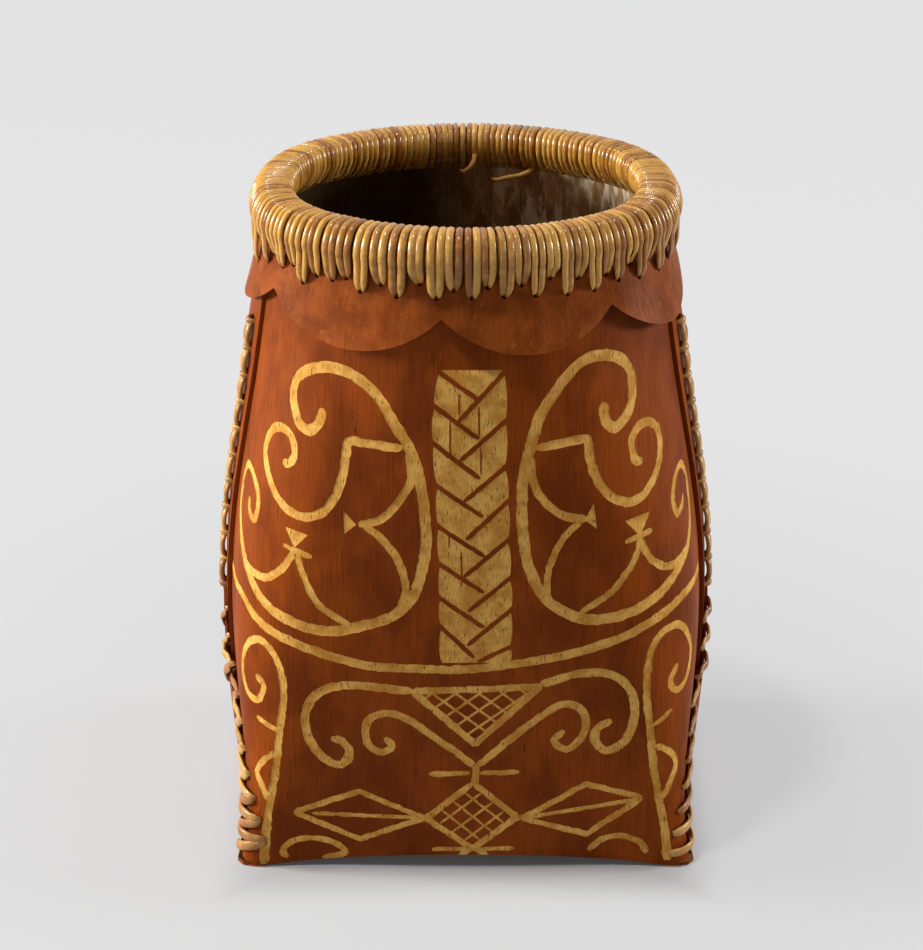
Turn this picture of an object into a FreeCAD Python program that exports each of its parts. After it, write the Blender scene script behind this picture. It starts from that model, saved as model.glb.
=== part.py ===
"""Birch bark box: one folded sheet of bark, a scalloped collar and a root-lashed rim of two hoops.

The frame: +Z is up, the origin is at the middle of the resting plane, +X runs to the right end and the
front panel faces -Y. Lengths are millimetres. The front panel's outer skin is layer zero: every other sheet
is measured outwards from it, so the layers nest with one fitting gap between them.
"""
import FreeCAD, Part
import functools
import math
import os

import Sketcher
from FreeCAD import Placement, Rotation, Vector

SIZES = (
    # the wall, from the table up
    ("wall_height", 323.0, "top edge of the bark"),
    ("neck_height", 258.0, "where the wall starts to lean in straight"),
    ("shoulder_height", 194.0, "section between belly and neck"),
    ("belly_height", 130.0, "fullest section"),
    ("foot_height", 65.0, "section between base and belly"),
    ("base_half_width", 108.0, "half of the base from end to end"),
    ("base_half_depth", 87.0, "half of the base from front to back"),
    ("base_side_radius", 1400.0, "nearly straight front of the base"),
    ("base_end_radius", 900.0, "nearly straight end of the base"),
    ("base_corner_radius", 10.0, "folded corner of the base"),
    ("foot_half_width", 113.0, "half of the foot section from end to end"),
    ("foot_half_depth", 92.5, "half of the foot section from front to back"),
    ("foot_side_radius", 700.0, "bow of the front at the foot section"),
    ("foot_end_radius", 480.0, "bow of the end at the foot section"),
    ("foot_corner_radius", 27.0, "corner at the foot section"),
    ("belly_half_width", 116.2, "half of the belly from end to end"),
    ("belly_half_depth", 96.5, "half of the belly from front to back"),
    ("belly_side_radius", 400.0, "bow of the front at the belly"),
    ("belly_end_radius", 290.0, "bow of the end at the belly"),
    ("belly_corner_radius", 46.0, "corner at the belly"),
    ("shoulder_half_width", 110.4, "half of the shoulder from end to end"),
    ("shoulder_half_depth", 96.0, "half of the shoulder from front to back"),
    ("shoulder_side_radius", 230.0, "bow of the front at the shoulder"),
    ("shoulder_end_radius", 180.0, "bow of the end at the shoulder"),
    ("shoulder_corner_radius", 60.0, "corner at the shoulder"),
    ("rim_half_width", 89.1, "half of the mouth from end to end"),
    ("rim_half_depth", 78.5, "half of the mouth from front to back"),
    ("rim_side_radius", 105.0, "bow of the front at the mouth"),
    ("rim_end_radius", 95.0, "bow of the end at the mouth"),
    ("rim_corner_radius", 60.0, "corner at the mouth"),
    ("rim_lean", 0.2, "how far the wall leans in for each millimetre up, above the neck"),
    # the folded sheet
    ("bark_thickness", 2.0, "one layer of bark"),
    ("fit_gap", 0.3, "space between two layers, and under the roots"),
    ("base_arch_rise", 6.0, "lift of the base in its middle"),
    ("base_arch_half_span", 98.0, "the base rests on the strips outside this"),
    ("back_wing_edge", 34.0, "outer free edge, this far to the front of the end's middle"),
    ("wing_taper", 0.2, "how fast that edge runs back above the neck"),
    ("front_wing_edge", 24.0, "inner free edge, this far to the back of the end's middle"),
    ("flap_height", 118.0, "tip of the pointed end flap"),
    ("flap_half_base", 80.0, "half of the end flap at its foot"),
    ("flap_tip_radius", 6.0, "rounded tip of the end flap"),
    # the collar
    ("collar_thickness", 2.0, "bark of the collar"),
    ("collar_lobes", 7, "scallops round the collar"),
    ("collar_cusp_height", 286.5, "where two scallops meet"),
    ("collar_lobe_height", 269.5, "lowest point of a scallop"),
    ("collar_joint", 1.2, "space between the collar's two ends"),
    # the hoops
    ("hoop_thickness", 5.0, "thickest part of a hoop"),
    ("hoop_top_width", 2.6, "flat on top of a hoop"),
    ("hoop_drop", 16.0, "depth of a hoop below the bark's top edge"),
    ("hoop_widest_drop", 8.0, "depth of its thickest part"),
    ("hoop_edge", 1.2, "thickness of its lower edge"),
    ("hoop_scarf", 0.8, "space in a hoop's slanting joint"),
    ("hoop_scarf_length", 46.0, "length of that joint"),
    ("hoop_scarf_turn", 14.0, "slant of that joint, in degrees off the hoop's run"),
    # the roots
    ("root_thickness", 1.8, "split root of the rim, flat side to the bark"),
    ("rim_root_lengths", 11, "lengths of root in the rim"),
    ("turns_per_length", 12, "turns over the rim of each length"),
    ("rim_root_width", 3.4, "root over the top of the rim"),
    ("rim_root_pinch", 1.4, "the same root where it enters an awl hole"),
    ("awl_clearance", 0.3, "room on each side of a root in its awl hole"),
    ("rim_hole_height", 298.0, "middle of the two rows of awl holes"),
    ("rim_hole_stagger", 4.0, "how far each row lies from that middle"),
    ("seam_root_width", 2.8, "root of the seams"),
    ("seam_root_thickness", 1.3, "the same root from its flat to its round side"),
    ("end_seam_setback", 10.0, "end seam, from the outer free edge"),
    ("end_seam_foot", 124.0, "lowest hole of the end seam"),
    ("end_seam_head", 262.0, "highest hole of the end seam"),
    ("end_seam_stitches", 10, "stitches of one end seam"),
    ("flap_seam_foot", 9.0, "lowest whip stitch of an end flap"),
    ("flap_seam_head", 103.0, "highest whip stitch of an end flap"),
    ("flap_seam_stitches", 10, "whip stitches on one edge of an end flap"),
    ("flap_stitch_reach", 6.5, "from the flap's edge to a hole"),
)

TRACK_POINTS = 900
SIDES = (("left", -1), ("right", 1))
DEPTHS = (("front", -1), ("back", 1))

doc = FreeCAD.newDocument("birch_bark_box")
sheet = doc.addObject("Spreadsheet::Sheet", "sizes")
for row, (alias, number, note) in enumerate(SIZES, start=1):
    sheet.set(f"A{row}", note)
    sheet.set(f"B{row}", str(number))
    sheet.setAlias(f"B{row}", alias)
doc.recompute()


class Size:
    """A length that knows its number and the spreadsheet expression that gives it."""

    def __init__(self, number, text):
        self.number = number
        self.text = text

    def __add__(self, other):
        return Size(self.number + other.number, f"({self.text} + {other.text})")

    def __sub__(self, other):
        return Size(self.number - other.number, f"({self.text} - {other.text})")

    def __mul__(self, other):
        return Size(self.number * other.number, f"({self.text} * {other.text})")


def cell(alias):
    """The size held by one cell of the sheet."""
    return Size(float(sheet.get(alias)), f"sizes.{alias}")


def plain(number):
    """A plain number among sizes."""
    return Size(float(number), str(number))


def count(alias):
    """A whole number held by one cell of the sheet."""
    return int(sheet.get(alias))


GAP = cell("fit_gap")
BARK = cell("bark_thickness")
NOTHING = plain(0)
HALF = plain(0.5)
UP = Vector(0, 0, 1)
WALL_TOP = cell("wall_height")


class Outline:
    """A closed oval of eight tangent arcs: front, back, two ends and four corners."""

    def __init__(self, section, at_ends, at_front, at_back):
        self.width = section["half_width"] + at_ends
        self.front = section["half_depth"] + at_front
        self.back = section["half_depth"] + at_back
        self.front_radius = section["side_radius"] + at_front
        self.back_radius = section["side_radius"] + at_back
        self.end_radius = section["end_radius"] + at_ends
        self.front_corner = section["corner_radius"] + (at_ends + at_front) * HALF
        self.back_corner = section["corner_radius"] + (at_ends + at_back) * HALF
        self.height = section["height"]

    def corner(self, depth, side_radius, corner_radius):
        """Centre of the corner arc that touches the side arc and the end arc, for x and y positive."""
        side_centre = Vector(0, depth.number - side_radius.number, 0)
        end_centre = Vector(self.width.number - self.end_radius.number, 0, 0)
        from_side = side_radius.number - corner_radius.number
        from_end = self.end_radius.number - corner_radius.number
        across = end_centre - side_centre
        apart = across.Length
        along = (from_side**2 - from_end**2 + apart**2) / (2 * apart)
        aside = math.sqrt(from_side**2 - along**2)
        unit = across / apart
        return side_centre + unit * along + Vector(unit.y, -unit.x, 0) * aside

    def arcs(self):
        """Centre, radius and two angles of each arc, anticlockwise from the front."""
        front = self.corner(self.front, self.front_radius, self.front_corner)
        back = self.corner(self.back, self.back_radius, self.back_corner)
        end_x = self.width.number - self.end_radius.number
        front_y = self.front_radius.number - self.front.number
        back_y = self.back.number - self.back_radius.number
        side_turn = math.atan2(front.y + front_y, front.x)
        end_turn = math.atan2(front.y, front.x - end_x)
        back_side_turn = math.atan2(back.y - back_y, back.x)
        back_end_turn = math.atan2(back.y, back.x - end_x)
        full = 2 * math.pi
        return (
            (Vector(0, front_y, 0), self.front_radius, math.pi + side_turn, full - side_turn),
            (Vector(front.x, -front.y, 0), self.front_corner, full - side_turn, full - end_turn),
            (Vector(end_x, 0, 0), self.end_radius, full - end_turn, full + back_end_turn),
            (Vector(back.x, back.y, 0), self.back_corner, back_end_turn, back_side_turn),
            (Vector(0, back_y, 0), self.back_radius, back_side_turn, math.pi - back_side_turn),
            (Vector(-back.x, back.y, 0), self.back_corner, math.pi - back_side_turn, math.pi - back_end_turn),
            (Vector(-end_x, 0, 0), self.end_radius, math.pi - back_end_turn, math.pi + end_turn),
            (Vector(-front.x, -front.y, 0), self.front_corner, math.pi + end_turn, math.pi + side_turn),
        )


def level(name):
    """The driving sizes of one section of the wall."""
    section = {
        key: cell(f"{name}_{key}")
        for key in ("half_width", "half_depth", "side_radius", "end_radius", "corner_radius")
    }
    section["height"] = NOTHING if name == "base" else cell(f"{name}_height")
    return section


def leaning_level(height):
    """A section of the straight, leaning part above the neck: the mouth's outline, moved outwards."""
    spread = cell("rim_lean") * (WALL_TOP - height)
    section = {
        key: cell(f"rim_{key}") + spread
        for key in ("half_width", "half_depth", "side_radius", "end_radius", "corner_radius")
    }
    section["height"] = height
    return section


def draw_loop(sketch, rings, cut_lines=None):
    """Puts arcs of one or two outlines in a sketch as a closed loop, bound to the sheet.

    rings lists (outline, arc indices); a second ring is joined to the first by two short lines, which lie at
    the two levels of cut_lines: one where the chain of arcs starts and one where it ends.
    """
    rules = []
    bound = []
    chains = []
    for ring, (outline, chain) in enumerate(rings):
        arcs = outline.arcs()
        drawn = []
        for position, index in enumerate(chain):
            centre, radius, first, last = arcs[index]
            last += 2 * math.pi if last < first else 0
            if cut_lines and position in (0, len(chain) - 1):
                cut_line = cut_lines[0 if position == 0 else -1]
                turn = math.asin(cut_line.number / radius.number)
                crossing = turn if index == 2 else math.pi - turn
                crossing += 2 * math.pi if crossing < first else 0
                first, last = (crossing, last) if position == 0 else (first, crossing)
            circle = Part.Circle(centre, UP, radius.number)
            drawn.append(sketch.addGeometry(Part.ArcOfCircle(circle, first, last), False))
        chains.append(drawn)
        closed = len(rings) == 1
        for this, following in zip(drawn, drawn[1:] + drawn[:1] if closed else drawn[1:]):
            rules.append(Sketcher.Constraint("Tangent", this, 2, following, 1))
        marks = {
            0: (-2, Vector(0, -outline.front.number, 0), outline.front),
            2: (-1, Vector(outline.width.number, 0, 0), outline.width),
            4: (-2, Vector(0, outline.back.number, 0), outline.back),
            6: (-1, Vector(-outline.width.number, 0, 0), outline.width),
        }
        for position, (arc, index) in enumerate(zip(drawn, chain)):
            bound.append((len(rules), f"radius_{ring}_{position}", arcs[index][1]))
            rules.append(Sketcher.Constraint("Radius", arc, arcs[index][1].number))
            if index not in marks:
                continue
            axis, place, size = marks[index]
            mark = sketch.addGeometry(Part.Point(place), True)
            rules.append(Sketcher.Constraint("PointOnObject", arc, 3, axis))
            rules.append(Sketcher.Constraint("PointOnObject", mark, 1, arc))
            rules.append(Sketcher.Constraint("PointOnObject", mark, 1, axis))
            kind = "DistanceX" if axis == -1 else "DistanceY"
            ends = (-1, 1, mark, 1) if place.x + place.y > 0 else (mark, 1, -1, 1)
            bound.append((len(rules), f"reach_{ring}_{position}", size))
            rules.append(Sketcher.Constraint(kind, *ends, size.number))
    if len(rings) == 2:
        outer, inner = chains
        for end_index, corner in ((0, 1), (-1, 2)):
            arcs_cut = (outer[end_index], inner[end_index])
            points = [sketch.getPoint(arc, corner) for arc in arcs_cut]
            line = sketch.addGeometry(Part.LineSegment(*points), False)
            for end, arc in enumerate(arcs_cut, start=1):
                rules.append(Sketcher.Constraint("Coincident", line, end, arc, corner))
                if not cut_lines:
                    continue
                cut_line = cut_lines[end_index]
                above = cut_line.number > 0
                ends = (-1, 1, line, end) if above else (line, end, -1, 1)
                bound.append((len(rules), f"cut_{corner}_{end}", cut_line if above else NOTHING - cut_line))
                rules.append(Sketcher.Constraint("DistanceY", *ends, abs(cut_line.number)))
    sketch.addConstraint(rules)
    for index, name, size in bound:
        sketch.renameConstraint(index, name)
        sketch.setExpression(f"Constraints.{name}", size.text)


ALL_ARCS = tuple(range(8))
ROUND_FROM_RIGHT = (2, 3, 4, 5, 6, 7, 0, 1, 2)
FRONT_ARCS = (6, 7, 0, 1, 2)
BACK_ARCS = (2, 3, 4, 5, 6)
RIGHT_ARCS = (1, 2, 3)
LEFT_ARCS = (5, 6, 7)


def set_height(thing, height):
    """Places an object at a height that the sheet gives."""
    thing.Placement = Placement(Vector(0, 0, height.number), Rotation())
    thing.setExpression("Placement.Base.z", height.text)


def loop_sketch(name, rings, cut_lines=None):
    """A sketch of a loop at its outline's height."""
    sketch = doc.addObject("Sketcher::SketchObject", name)
    draw_loop(sketch, rings, cut_lines)
    set_height(sketch, rings[0][0].height)
    return sketch


BASE = level("base")
NECK = leaning_level(cell("neck_height"))
MOUTH = leaning_level(WALL_TOP)
BOWED_LEVELS = (BASE, level("foot"), level("belly"), level("shoulder"), NECK)


def wall_sheet(name, arcs, outside, inside, levels, cut_lines):
    """One layer of bark, lofted up the wall between two offsets (at ends, front and back).

    cut_lines holds, for each level, the two lines across the ends where the layer's free edges lie. Between
    the neck and the mouth the wall is straight, and elsewhere it bows through the levels.
    """
    loft = doc.addObject("Part::Loft", name)
    loft.Sections = [
        loop_sketch(
            f"{name}_section_{index}",
            ((Outline(section, *outside), arcs), (Outline(section, *inside), arcs)),
            lines,
        )
        for index, (section, lines) in enumerate(zip(levels, cut_lines))
    ]
    loft.Solid = True
    loft.Ruled = len(levels) == 2
    return loft


def cut(name, base, tool):
    """The base without the tool."""
    result = doc.addObject("Part::Cut", name)
    result.Base = base
    result.Tool = tool
    return result


def common(name, base, tool):
    """What the base and the tool share."""
    result = doc.addObject("Part::Common", name)
    result.Base = base
    result.Tool = tool
    return result


def prism(name, sketch, length):
    """A profile of the upright plane along X, pushed out to both sides along its normal."""
    solid = doc.addObject("Part::Extrusion", name)
    solid.Base = sketch
    solid.DirMode = "Normal"
    solid.Solid = True
    solid.Symmetric = True
    solid.LengthFwd = length.number
    solid.setExpression("LengthFwd", length.text)
    return solid


def upright_sketch(name, edges, rotation):
    """A sketch of plain edges in an upright plane."""
    sketch = doc.addObject("Sketcher::SketchObject", name)
    sketch.Placement = Placement(Vector(), rotation)
    for edge in edges:
        sketch.addGeometry(edge, False)
    return sketch


FACING_FRONT = Rotation(Vector(1, 0, 0), 90)
FACING_RIGHT = Rotation(Vector(1, 1, 1), 120)


def arch_edges(thickness):
    """The band between the base's arched underside and a line one thickness above it."""
    reach = 2 * cell("belly_half_width").number
    span = cell("base_arch_half_span").number
    rise = cell("base_arch_rise").number

    def line(x1, y1, x2, y2):
        return Part.LineSegment(Vector(x1, y1, 0), Vector(x2, y2, 0))

    def arch(lift):
        return Part.Arc(Vector(-span, lift, 0), Vector(0, rise + lift, 0), Vector(span, lift, 0))

    return (
        line(-reach, 0, -span, 0),
        arch(0),
        line(span, 0, reach, 0),
        line(reach, 0, reach, thickness),
        line(reach, thickness, span, thickness),
        arch(thickness),
        line(-span, thickness, -reach, thickness),
        line(-reach, thickness, -reach, 0),
    )


def flap_edges():
    """The outline of a pointed end flap, with its rounded tip, as seen from the end."""
    half = cell("flap_half_base").number
    tip = cell("flap_height").number
    tip_radius = cell("flap_tip_radius").number
    slope = math.atan2(tip, half)
    centre = tip - tip_radius / math.cos(slope)
    touch_y = tip_radius * math.sin(slope)
    touch_z = centre + tip_radius * math.cos(slope)
    foot = -tip
    foot_half = half * (tip - foot) / tip
    return (
        Part.LineSegment(Vector(-foot_half, foot, 0), Vector(foot_half, foot, 0)),
        Part.LineSegment(Vector(foot_half, foot, 0), Vector(touch_y, touch_z, 0)),
        Part.Arc(
            Vector(touch_y, touch_z, 0), Vector(0, centre + tip_radius, 0), Vector(-touch_y, touch_z, 0)
        ),
        Part.LineSegment(Vector(-touch_y, touch_z, 0), Vector(-foot_half, foot, 0)),
    )


def flap_half_width(height):
    """Half of the end flap at a height."""
    return cell("flap_half_base").number * (1 - height / cell("flap_height").number)


def back_wing_line(section):
    """Where the back panel's wing ends at a level: it narrows a little above the neck."""
    edge = NOTHING - cell("back_wing_edge")
    if section["height"].number < cell("neck_height").number:
        return edge
    return edge + cell("wing_taper") * (section["height"] - cell("neck_height"))


# ---- the folded sheet ----
# At the ends three layers lie on each other: the front panel's wing, the back panel's wing and the end flap.
# Across the back the back panel steps in to the same layer as the front panel.
SECOND_INSIDE = GAP
SECOND_OUTSIDE = GAP + BARK
THIRD_INSIDE = GAP * plain(2) + BARK
THIRD_OUTSIDE = THIRD_INSIDE + BARK
INSIDE = NOTHING - BARK

front_edge = cell("front_wing_edge")
front_layer = (FRONT_ARCS, (NOTHING,) * 3, (INSIDE,) * 3)
back_layer = (
    BACK_ARCS,
    (SECOND_OUTSIDE, SECOND_OUTSIDE, NOTHING),
    (SECOND_INSIDE, SECOND_INSIDE, INSIDE),
)
panels = []
for name, layer, free_edge in (
    ("front", front_layer, lambda section: (front_edge, front_edge)),
    ("back", back_layer, lambda section: (back_wing_line(section),) * 2),
):
    for part, levels in (("panel", BOWED_LEVELS), ("neck", (NECK, MOUTH))):
        lines = [free_edge(section) for section in levels]
        panels.append(wall_sheet(f"{name}_{part}", *layer, levels, lines))

flap_sheets = []
for name, arcs in (("right_flap_sheet", RIGHT_ARCS), ("left_flap_sheet", LEFT_ARCS)):
    loft = doc.addObject("Part::Loft", name)
    outside = (THIRD_OUTSIDE, SECOND_OUTSIDE, SECOND_OUTSIDE)
    inside = (THIRD_INSIDE, SECOND_INSIDE, SECOND_INSIDE)
    loft.Sections = [
        loop_sketch(
            f"{name}_section_{index}",
            ((Outline(section, *outside), arcs), (Outline(section, *inside), arcs)),
        )
        for index, section in enumerate(BOWED_LEVELS)
    ]
    loft.Solid = True
    loft.Ruled = False
    flap_sheets.append(loft)
flap_region = prism(
    "flap_region",
    upright_sketch("flap_profile", flap_edges(), FACING_RIGHT),
    cell("belly_half_width") * plain(4),
)
end_flaps = [common(f"{loft.Name}_cut", loft, flap_region) for loft in flap_sheets]

base_column = doc.addObject("Part::Extrusion", "base_column")
base_column.Base = loop_sketch(
    "base_outline",
    (
        (
            Outline(
                BASE, THIRD_OUTSIDE - BARK * HALF, NOTHING - BARK * HALF, NOTHING - BARK * HALF
            ),
            ALL_ARCS,
        ),
    ),
)
base_column.DirMode = "Normal"
base_column.Solid = True
base_column.LengthFwd = 2 * (cell("base_arch_rise") + BARK).number
base_column.setExpression("LengthFwd", ((cell("base_arch_rise") + BARK) * plain(2)).text)
base_band = prism(
    "base_band",
    upright_sketch("base_profile", arch_edges(BARK.number), FACING_FRONT),
    cell("belly_half_depth") * plain(4),
)
span = cell("base_arch_half_span").number
below_base = prism(
    "below_base",
    upright_sketch(
        "below_profile",
        (
            Part.Arc(Vector(-span, 0, 0), Vector(0, cell("base_arch_rise").number, 0), Vector(span, 0, 0)),
            Part.LineSegment(Vector(span, 0, 0), Vector(-span, 0, 0)),
        ),
        FACING_FRONT,
    ),
    cell("belly_half_depth") * plain(4),
)
base = common("base", base_column, base_band)
folded = doc.addObject("Part::MultiFuse", "folded_sheet")
folded.Shapes = [*panels, *end_flaps, base]
unpierced = cut("unpierced_sheet", folded, below_base)
doc.recompute()


# ---- following the wall ----
class Track:
    """A closed level line round the wall, walked by distance, anticlockwise from the middle of the right end."""

    def __init__(self, wire):
        points = wire.discretize(Number=TRACK_POINTS + 1)[:-1]
        turned = sum(a.x * b.y - b.x * a.y for a, b in zip(points, points[1:] + points[:1]))
        if turned < 0:
            points.reverse()
        start = max(range(len(points)), key=lambda i: points[i].x - abs(points[i].y))
        self.points = points[start:] + points[:start]
        self.edges = list(zip(self.points, self.points[1:] + self.points[:1]))
        self.length = sum((b - a).Length for a, b in self.edges)
        self.step = self.length / len(self.points)

    def place(self, distance):
        """The point at a distance along the line."""
        position = (distance / self.step) % len(self.points)
        index = int(position)
        start, end = self.edges[index]
        return start + (end - start) * (position - index)

    def normal(self, distance):
        """The level direction that points away from the box at a distance along the line."""
        along = self.place(distance + 2 * self.step) - self.place(distance - 2 * self.step)
        return Vector(along.y, -along.x, 0).normalize()

    def crossing(self, side, y):
        """The distance along the line at which it passes a given y on one end of the box."""
        for index, (a, b) in enumerate(self.edges):
            if a.x * side > 0 and min(a.y, b.y) <= y < max(a.y, b.y):
                return (index + (y - a.y) / (b.y - a.y)) * self.step
        raise ValueError("this level has no such point")

    def reach(self, start, direction):
        """How far this line lies from a level point inside it, in a level direction."""
        for a, b in self.edges:
            edge = b - a
            cross = direction.x * edge.y - direction.y * edge.x
            if not cross:
                continue
            between = a - start
            along = (between.x * edge.y - between.y * edge.x) / cross
            share = (between.x * direction.y - between.y * direction.x) / cross
            if 0 <= share <= 1 and along > 0:
                return along
        raise ValueError("the point lies outside the line")


def outline_track(outline):
    """The line of an outline."""
    edges = []
    for centre, radius, first, last in outline.arcs():
        last += 2 * math.pi if last < first else 0
        edges.append(Part.ArcOfCircle(Part.Circle(centre, UP, radius.number), first, last).toShape())
    return Track(Part.Wire(edges))


def rim_outline(height, at_ends, at_sides):
    """The outline of the leaning part of the wall at a height, moved outwards."""
    return Outline(leaning_level(height), at_ends, at_sides, at_sides)


skin = doc.addObject("Part::Loft", "layer_zero")
skin.Sections = [
    loop_sketch(f"layer_zero_section_{index}", ((Outline(section, *(NOTHING,) * 3), ALL_ARCS),))
    for index, section in enumerate(BOWED_LEVELS)
]
skin.Solid = False
skin.Ruled = False
doc.recompute()


@functools.cache
def wall_track(height):
    """The line round layer zero at a height."""
    if height >= cell("neck_height").number:
        return outline_track(rim_outline(plain(height), NOTHING, NOTHING))
    return Track(skin.Shape.slice(UP, height)[0])


# ---- solids of root ----
def widened(loop, distance):
    """A closed outline moved outwards by a distance, with mitred corners."""
    area = sum(a[0] * b[1] - b[0] * a[1] for a, b in zip(loop, loop[1:] + loop[:1]))
    turn = 1 if area > 0 else -1
    lines = []
    for a, b in zip(loop, loop[1:] + loop[:1]):
        length = math.hypot(b[0] - a[0], b[1] - a[1])
        along = ((b[0] - a[0]) / length, (b[1] - a[1]) / length)
        out = (along[1] * turn * distance, -along[0] * turn * distance)
        lines.append(((a[0] + out[0], a[1] + out[1]), along))
    moved = []
    for (p, u), (q, v) in zip(lines[-1:] + lines[:-1], lines):
        cross = u[0] * v[1] - u[1] * v[0]
        share = ((q[0] - p[0]) * v[1] - (q[1] - p[1]) * v[0]) / cross
        moved.append((p[0] + u[0] * share, p[1] + u[1] * share))
    return moved


def root_loop(loop, thickness, to_space):
    """A closed turn of root: a flat strip bent round a loop.

    to_space(point, side) gives the place in space of a corner of the loop, on side -1 or 1 of the strip.
    """
    outer = widened(loop, thickness)
    corners = {
        (name, side): [to_space(point, side) for point in points]
        for name, points in (("inner", loop), ("outer", outer))
        for side in (-1, 1)
    }
    faces = []
    for name in ("inner", "outer"):
        low, high = corners[name, -1], corners[name, 1]
        for i in range(len(low)):
            j = (i + 1) % len(low)
            faces.append(Part.Face(Part.makePolygon([low[i], low[j], high[j], high[i], low[i]])))
    for side in (-1, 1):
        rim, hole = corners["outer", side], corners["inner", side]
        ring = Part.Face(Part.makePolygon(rim + rim[:1]))
        faces.append(ring.cut(Part.Face(Part.makePolygon(hole + hole[:1]))).Faces[0])
    solid = Part.Solid(Part.makeShell(faces))
    if solid.Volume < 0:
        solid.reverse()
    return solid


def awl_hole(start, end, width, height):
    """A straight four-cornered hole from one point to another."""
    along = end - start
    aside = along.cross(UP).normalize() * (width / 2)
    rise = UP * (height / 2)
    corners = [start + aside + rise, start - aside + rise, start - aside - rise, start + aside - rise]
    return Part.Face(Part.makePolygon(corners + corners[:1])).extrude(along)


def made_of(name, solids):
    """A named sub-part made of separate solids."""
    feature = doc.addObject("Part::Feature", name)
    feature.Shape = Part.makeCompound(solids)
    return feature


gap = GAP.number
bark = BARK.number
clearance = cell("awl_clearance").number

# ---- the rim's layers, outwards from the bark ----
COLLAR_OUT_ENDS = THIRD_INSIDE + cell("collar_thickness")
COLLAR_OUT_SIDES = GAP + cell("collar_thickness")
HOOP_IN_ENDS = COLLAR_OUT_ENDS + GAP
HOOP_IN_SIDES = COLLAR_OUT_SIDES + GAP
INNER_HOOP_FACE = INSIDE - GAP

# ---- the awl holes of the rim ----
turns = count("rim_root_lengths") * count("turns_per_length")
bark_line = outline_track(rim_outline(WALL_TOP, NOTHING, NOTHING))
collar_line = outline_track(rim_outline(WALL_TOP, COLLAR_OUT_ENDS, COLLAR_OUT_SIDES))
hoop_line = outline_track(
    rim_outline(WALL_TOP, HOOP_IN_ENDS + cell("hoop_thickness"), HOOP_IN_SIDES + cell("hoop_thickness"))
)
turn_pitch = bark_line.length / turns


def rim_place(distance, offset, height, aside=0.0):
    """A point of the rim: along the bark's top edge, outwards from it, and up the leaning wall."""
    normal = bark_line.normal(distance)
    along = Vector(-normal.y, normal.x, 0)
    lean = cell("rim_lean").number * (WALL_TOP.number - height)
    level_point = bark_line.place(distance) + normal * (offset + lean) + along * aside
    return Vector(level_point.x, level_point.y, height)


def rim_offset(line, distance):
    """How far a line round the rim lies outside the bark's top edge."""
    return line.reach(bark_line.place(distance), bark_line.normal(distance))


def hole_height(index):
    """Height of an awl hole of the rim, in the upper and the lower row by turns."""
    return cell("rim_hole_height").number + cell("rim_hole_stagger").number * (1 if index % 2 else -1)


def rim_hole(index):
    """The awl hole that two neighbouring turns share, through the collar and the bark."""
    distance = (2 * index + 1) * turn_pitch
    inside = rim_place(distance, INSIDE.number - bark, hole_height(index))
    outside = rim_place(distance, rim_offset(collar_line, distance) + bark, hole_height(index))
    width = 2 * (cell("rim_root_pinch").number + clearance) + clearance
    return awl_hole(inside, outside, width, cell("root_thickness").number + 2 * clearance)


rim_holes = made_of("rim_awl_holes", [rim_hole(index) for index in range(turns // 2)])


# ---- the collar ----
collar_foot = cell("collar_lobe_height")
collar_band = doc.addObject("Part::Loft", "collar_band")
collar_band.Sections = [
    loop_sketch(
        f"collar_section_{index}",
        (
            (rim_outline(height, COLLAR_OUT_ENDS, COLLAR_OUT_SIDES), ROUND_FROM_RIGHT),
            (rim_outline(height, THIRD_INSIDE, GAP), ROUND_FROM_RIGHT),
        ),
        (cell("collar_joint") * HALF, NOTHING - cell("collar_joint") * HALF),
    )
    for index, height in enumerate((collar_foot, WALL_TOP))
]
collar_band.Solid = True
collar_band.Ruled = True


def lobe_arc(reach, rise):
    """Half of a scallop's edge: an arc from its lowest point, level there, to the cusp at (0, rise)."""
    width = abs(reach)
    radius = (width**2 + rise**2) / (2 * rise)
    half_turn = math.asin(width / radius) / 2
    middle = (width - radius * math.sin(half_turn)) * reach / width
    return Part.Arc(
        Vector(reach, 0, 0), Vector(middle, radius * (1 - math.cos(half_turn)), 0), Vector(0, rise, 0)
    )


def scallop_cutter(index):
    """What is cut away under one cusp of the collar, pushed through along the wall's normal."""
    line = outline_track(rim_outline(collar_foot, COLLAR_OUT_ENDS, COLLAR_OUT_SIDES))
    half_lobe = line.length / count("collar_lobes") / 2
    distance = 2 * index * half_lobe
    outward = line.normal(distance)
    along = Vector(-outward.y, outward.x, 0)
    middle = line.place(distance)
    left, right = ((line.place(distance + step) - middle).dot(along) for step in (-half_lobe, half_lobe))
    rise = (cell("collar_cusp_height") - collar_foot).number
    profile = Part.Wire(
        [
            lobe_arc(left, rise).toShape(),
            lobe_arc(right, rise).toShape(),
            Part.makeLine(Vector(right, 0, 0), Vector(right, -rise, 0)),
            Part.makeLine(Vector(right, -rise, 0), Vector(left, -rise, 0)),
            Part.makeLine(Vector(left, -rise, 0), Vector(left, 0, 0)),
        ]
    )
    depth = cell("rim_half_depth").number / 2
    start = middle + outward * bark
    face = Part.Face(profile)
    face.Placement = Placement(
        Vector(start.x, start.y, collar_foot.number), Rotation(along, UP, outward, "ZXY")
    )
    return face.extrude(outward * -depth)


scallops = made_of("scallops", [scallop_cutter(index) for index in range(count("collar_lobes"))])
collar = cut("collar", cut("scalloped_band", collar_band, scallops), rim_holes)


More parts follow.
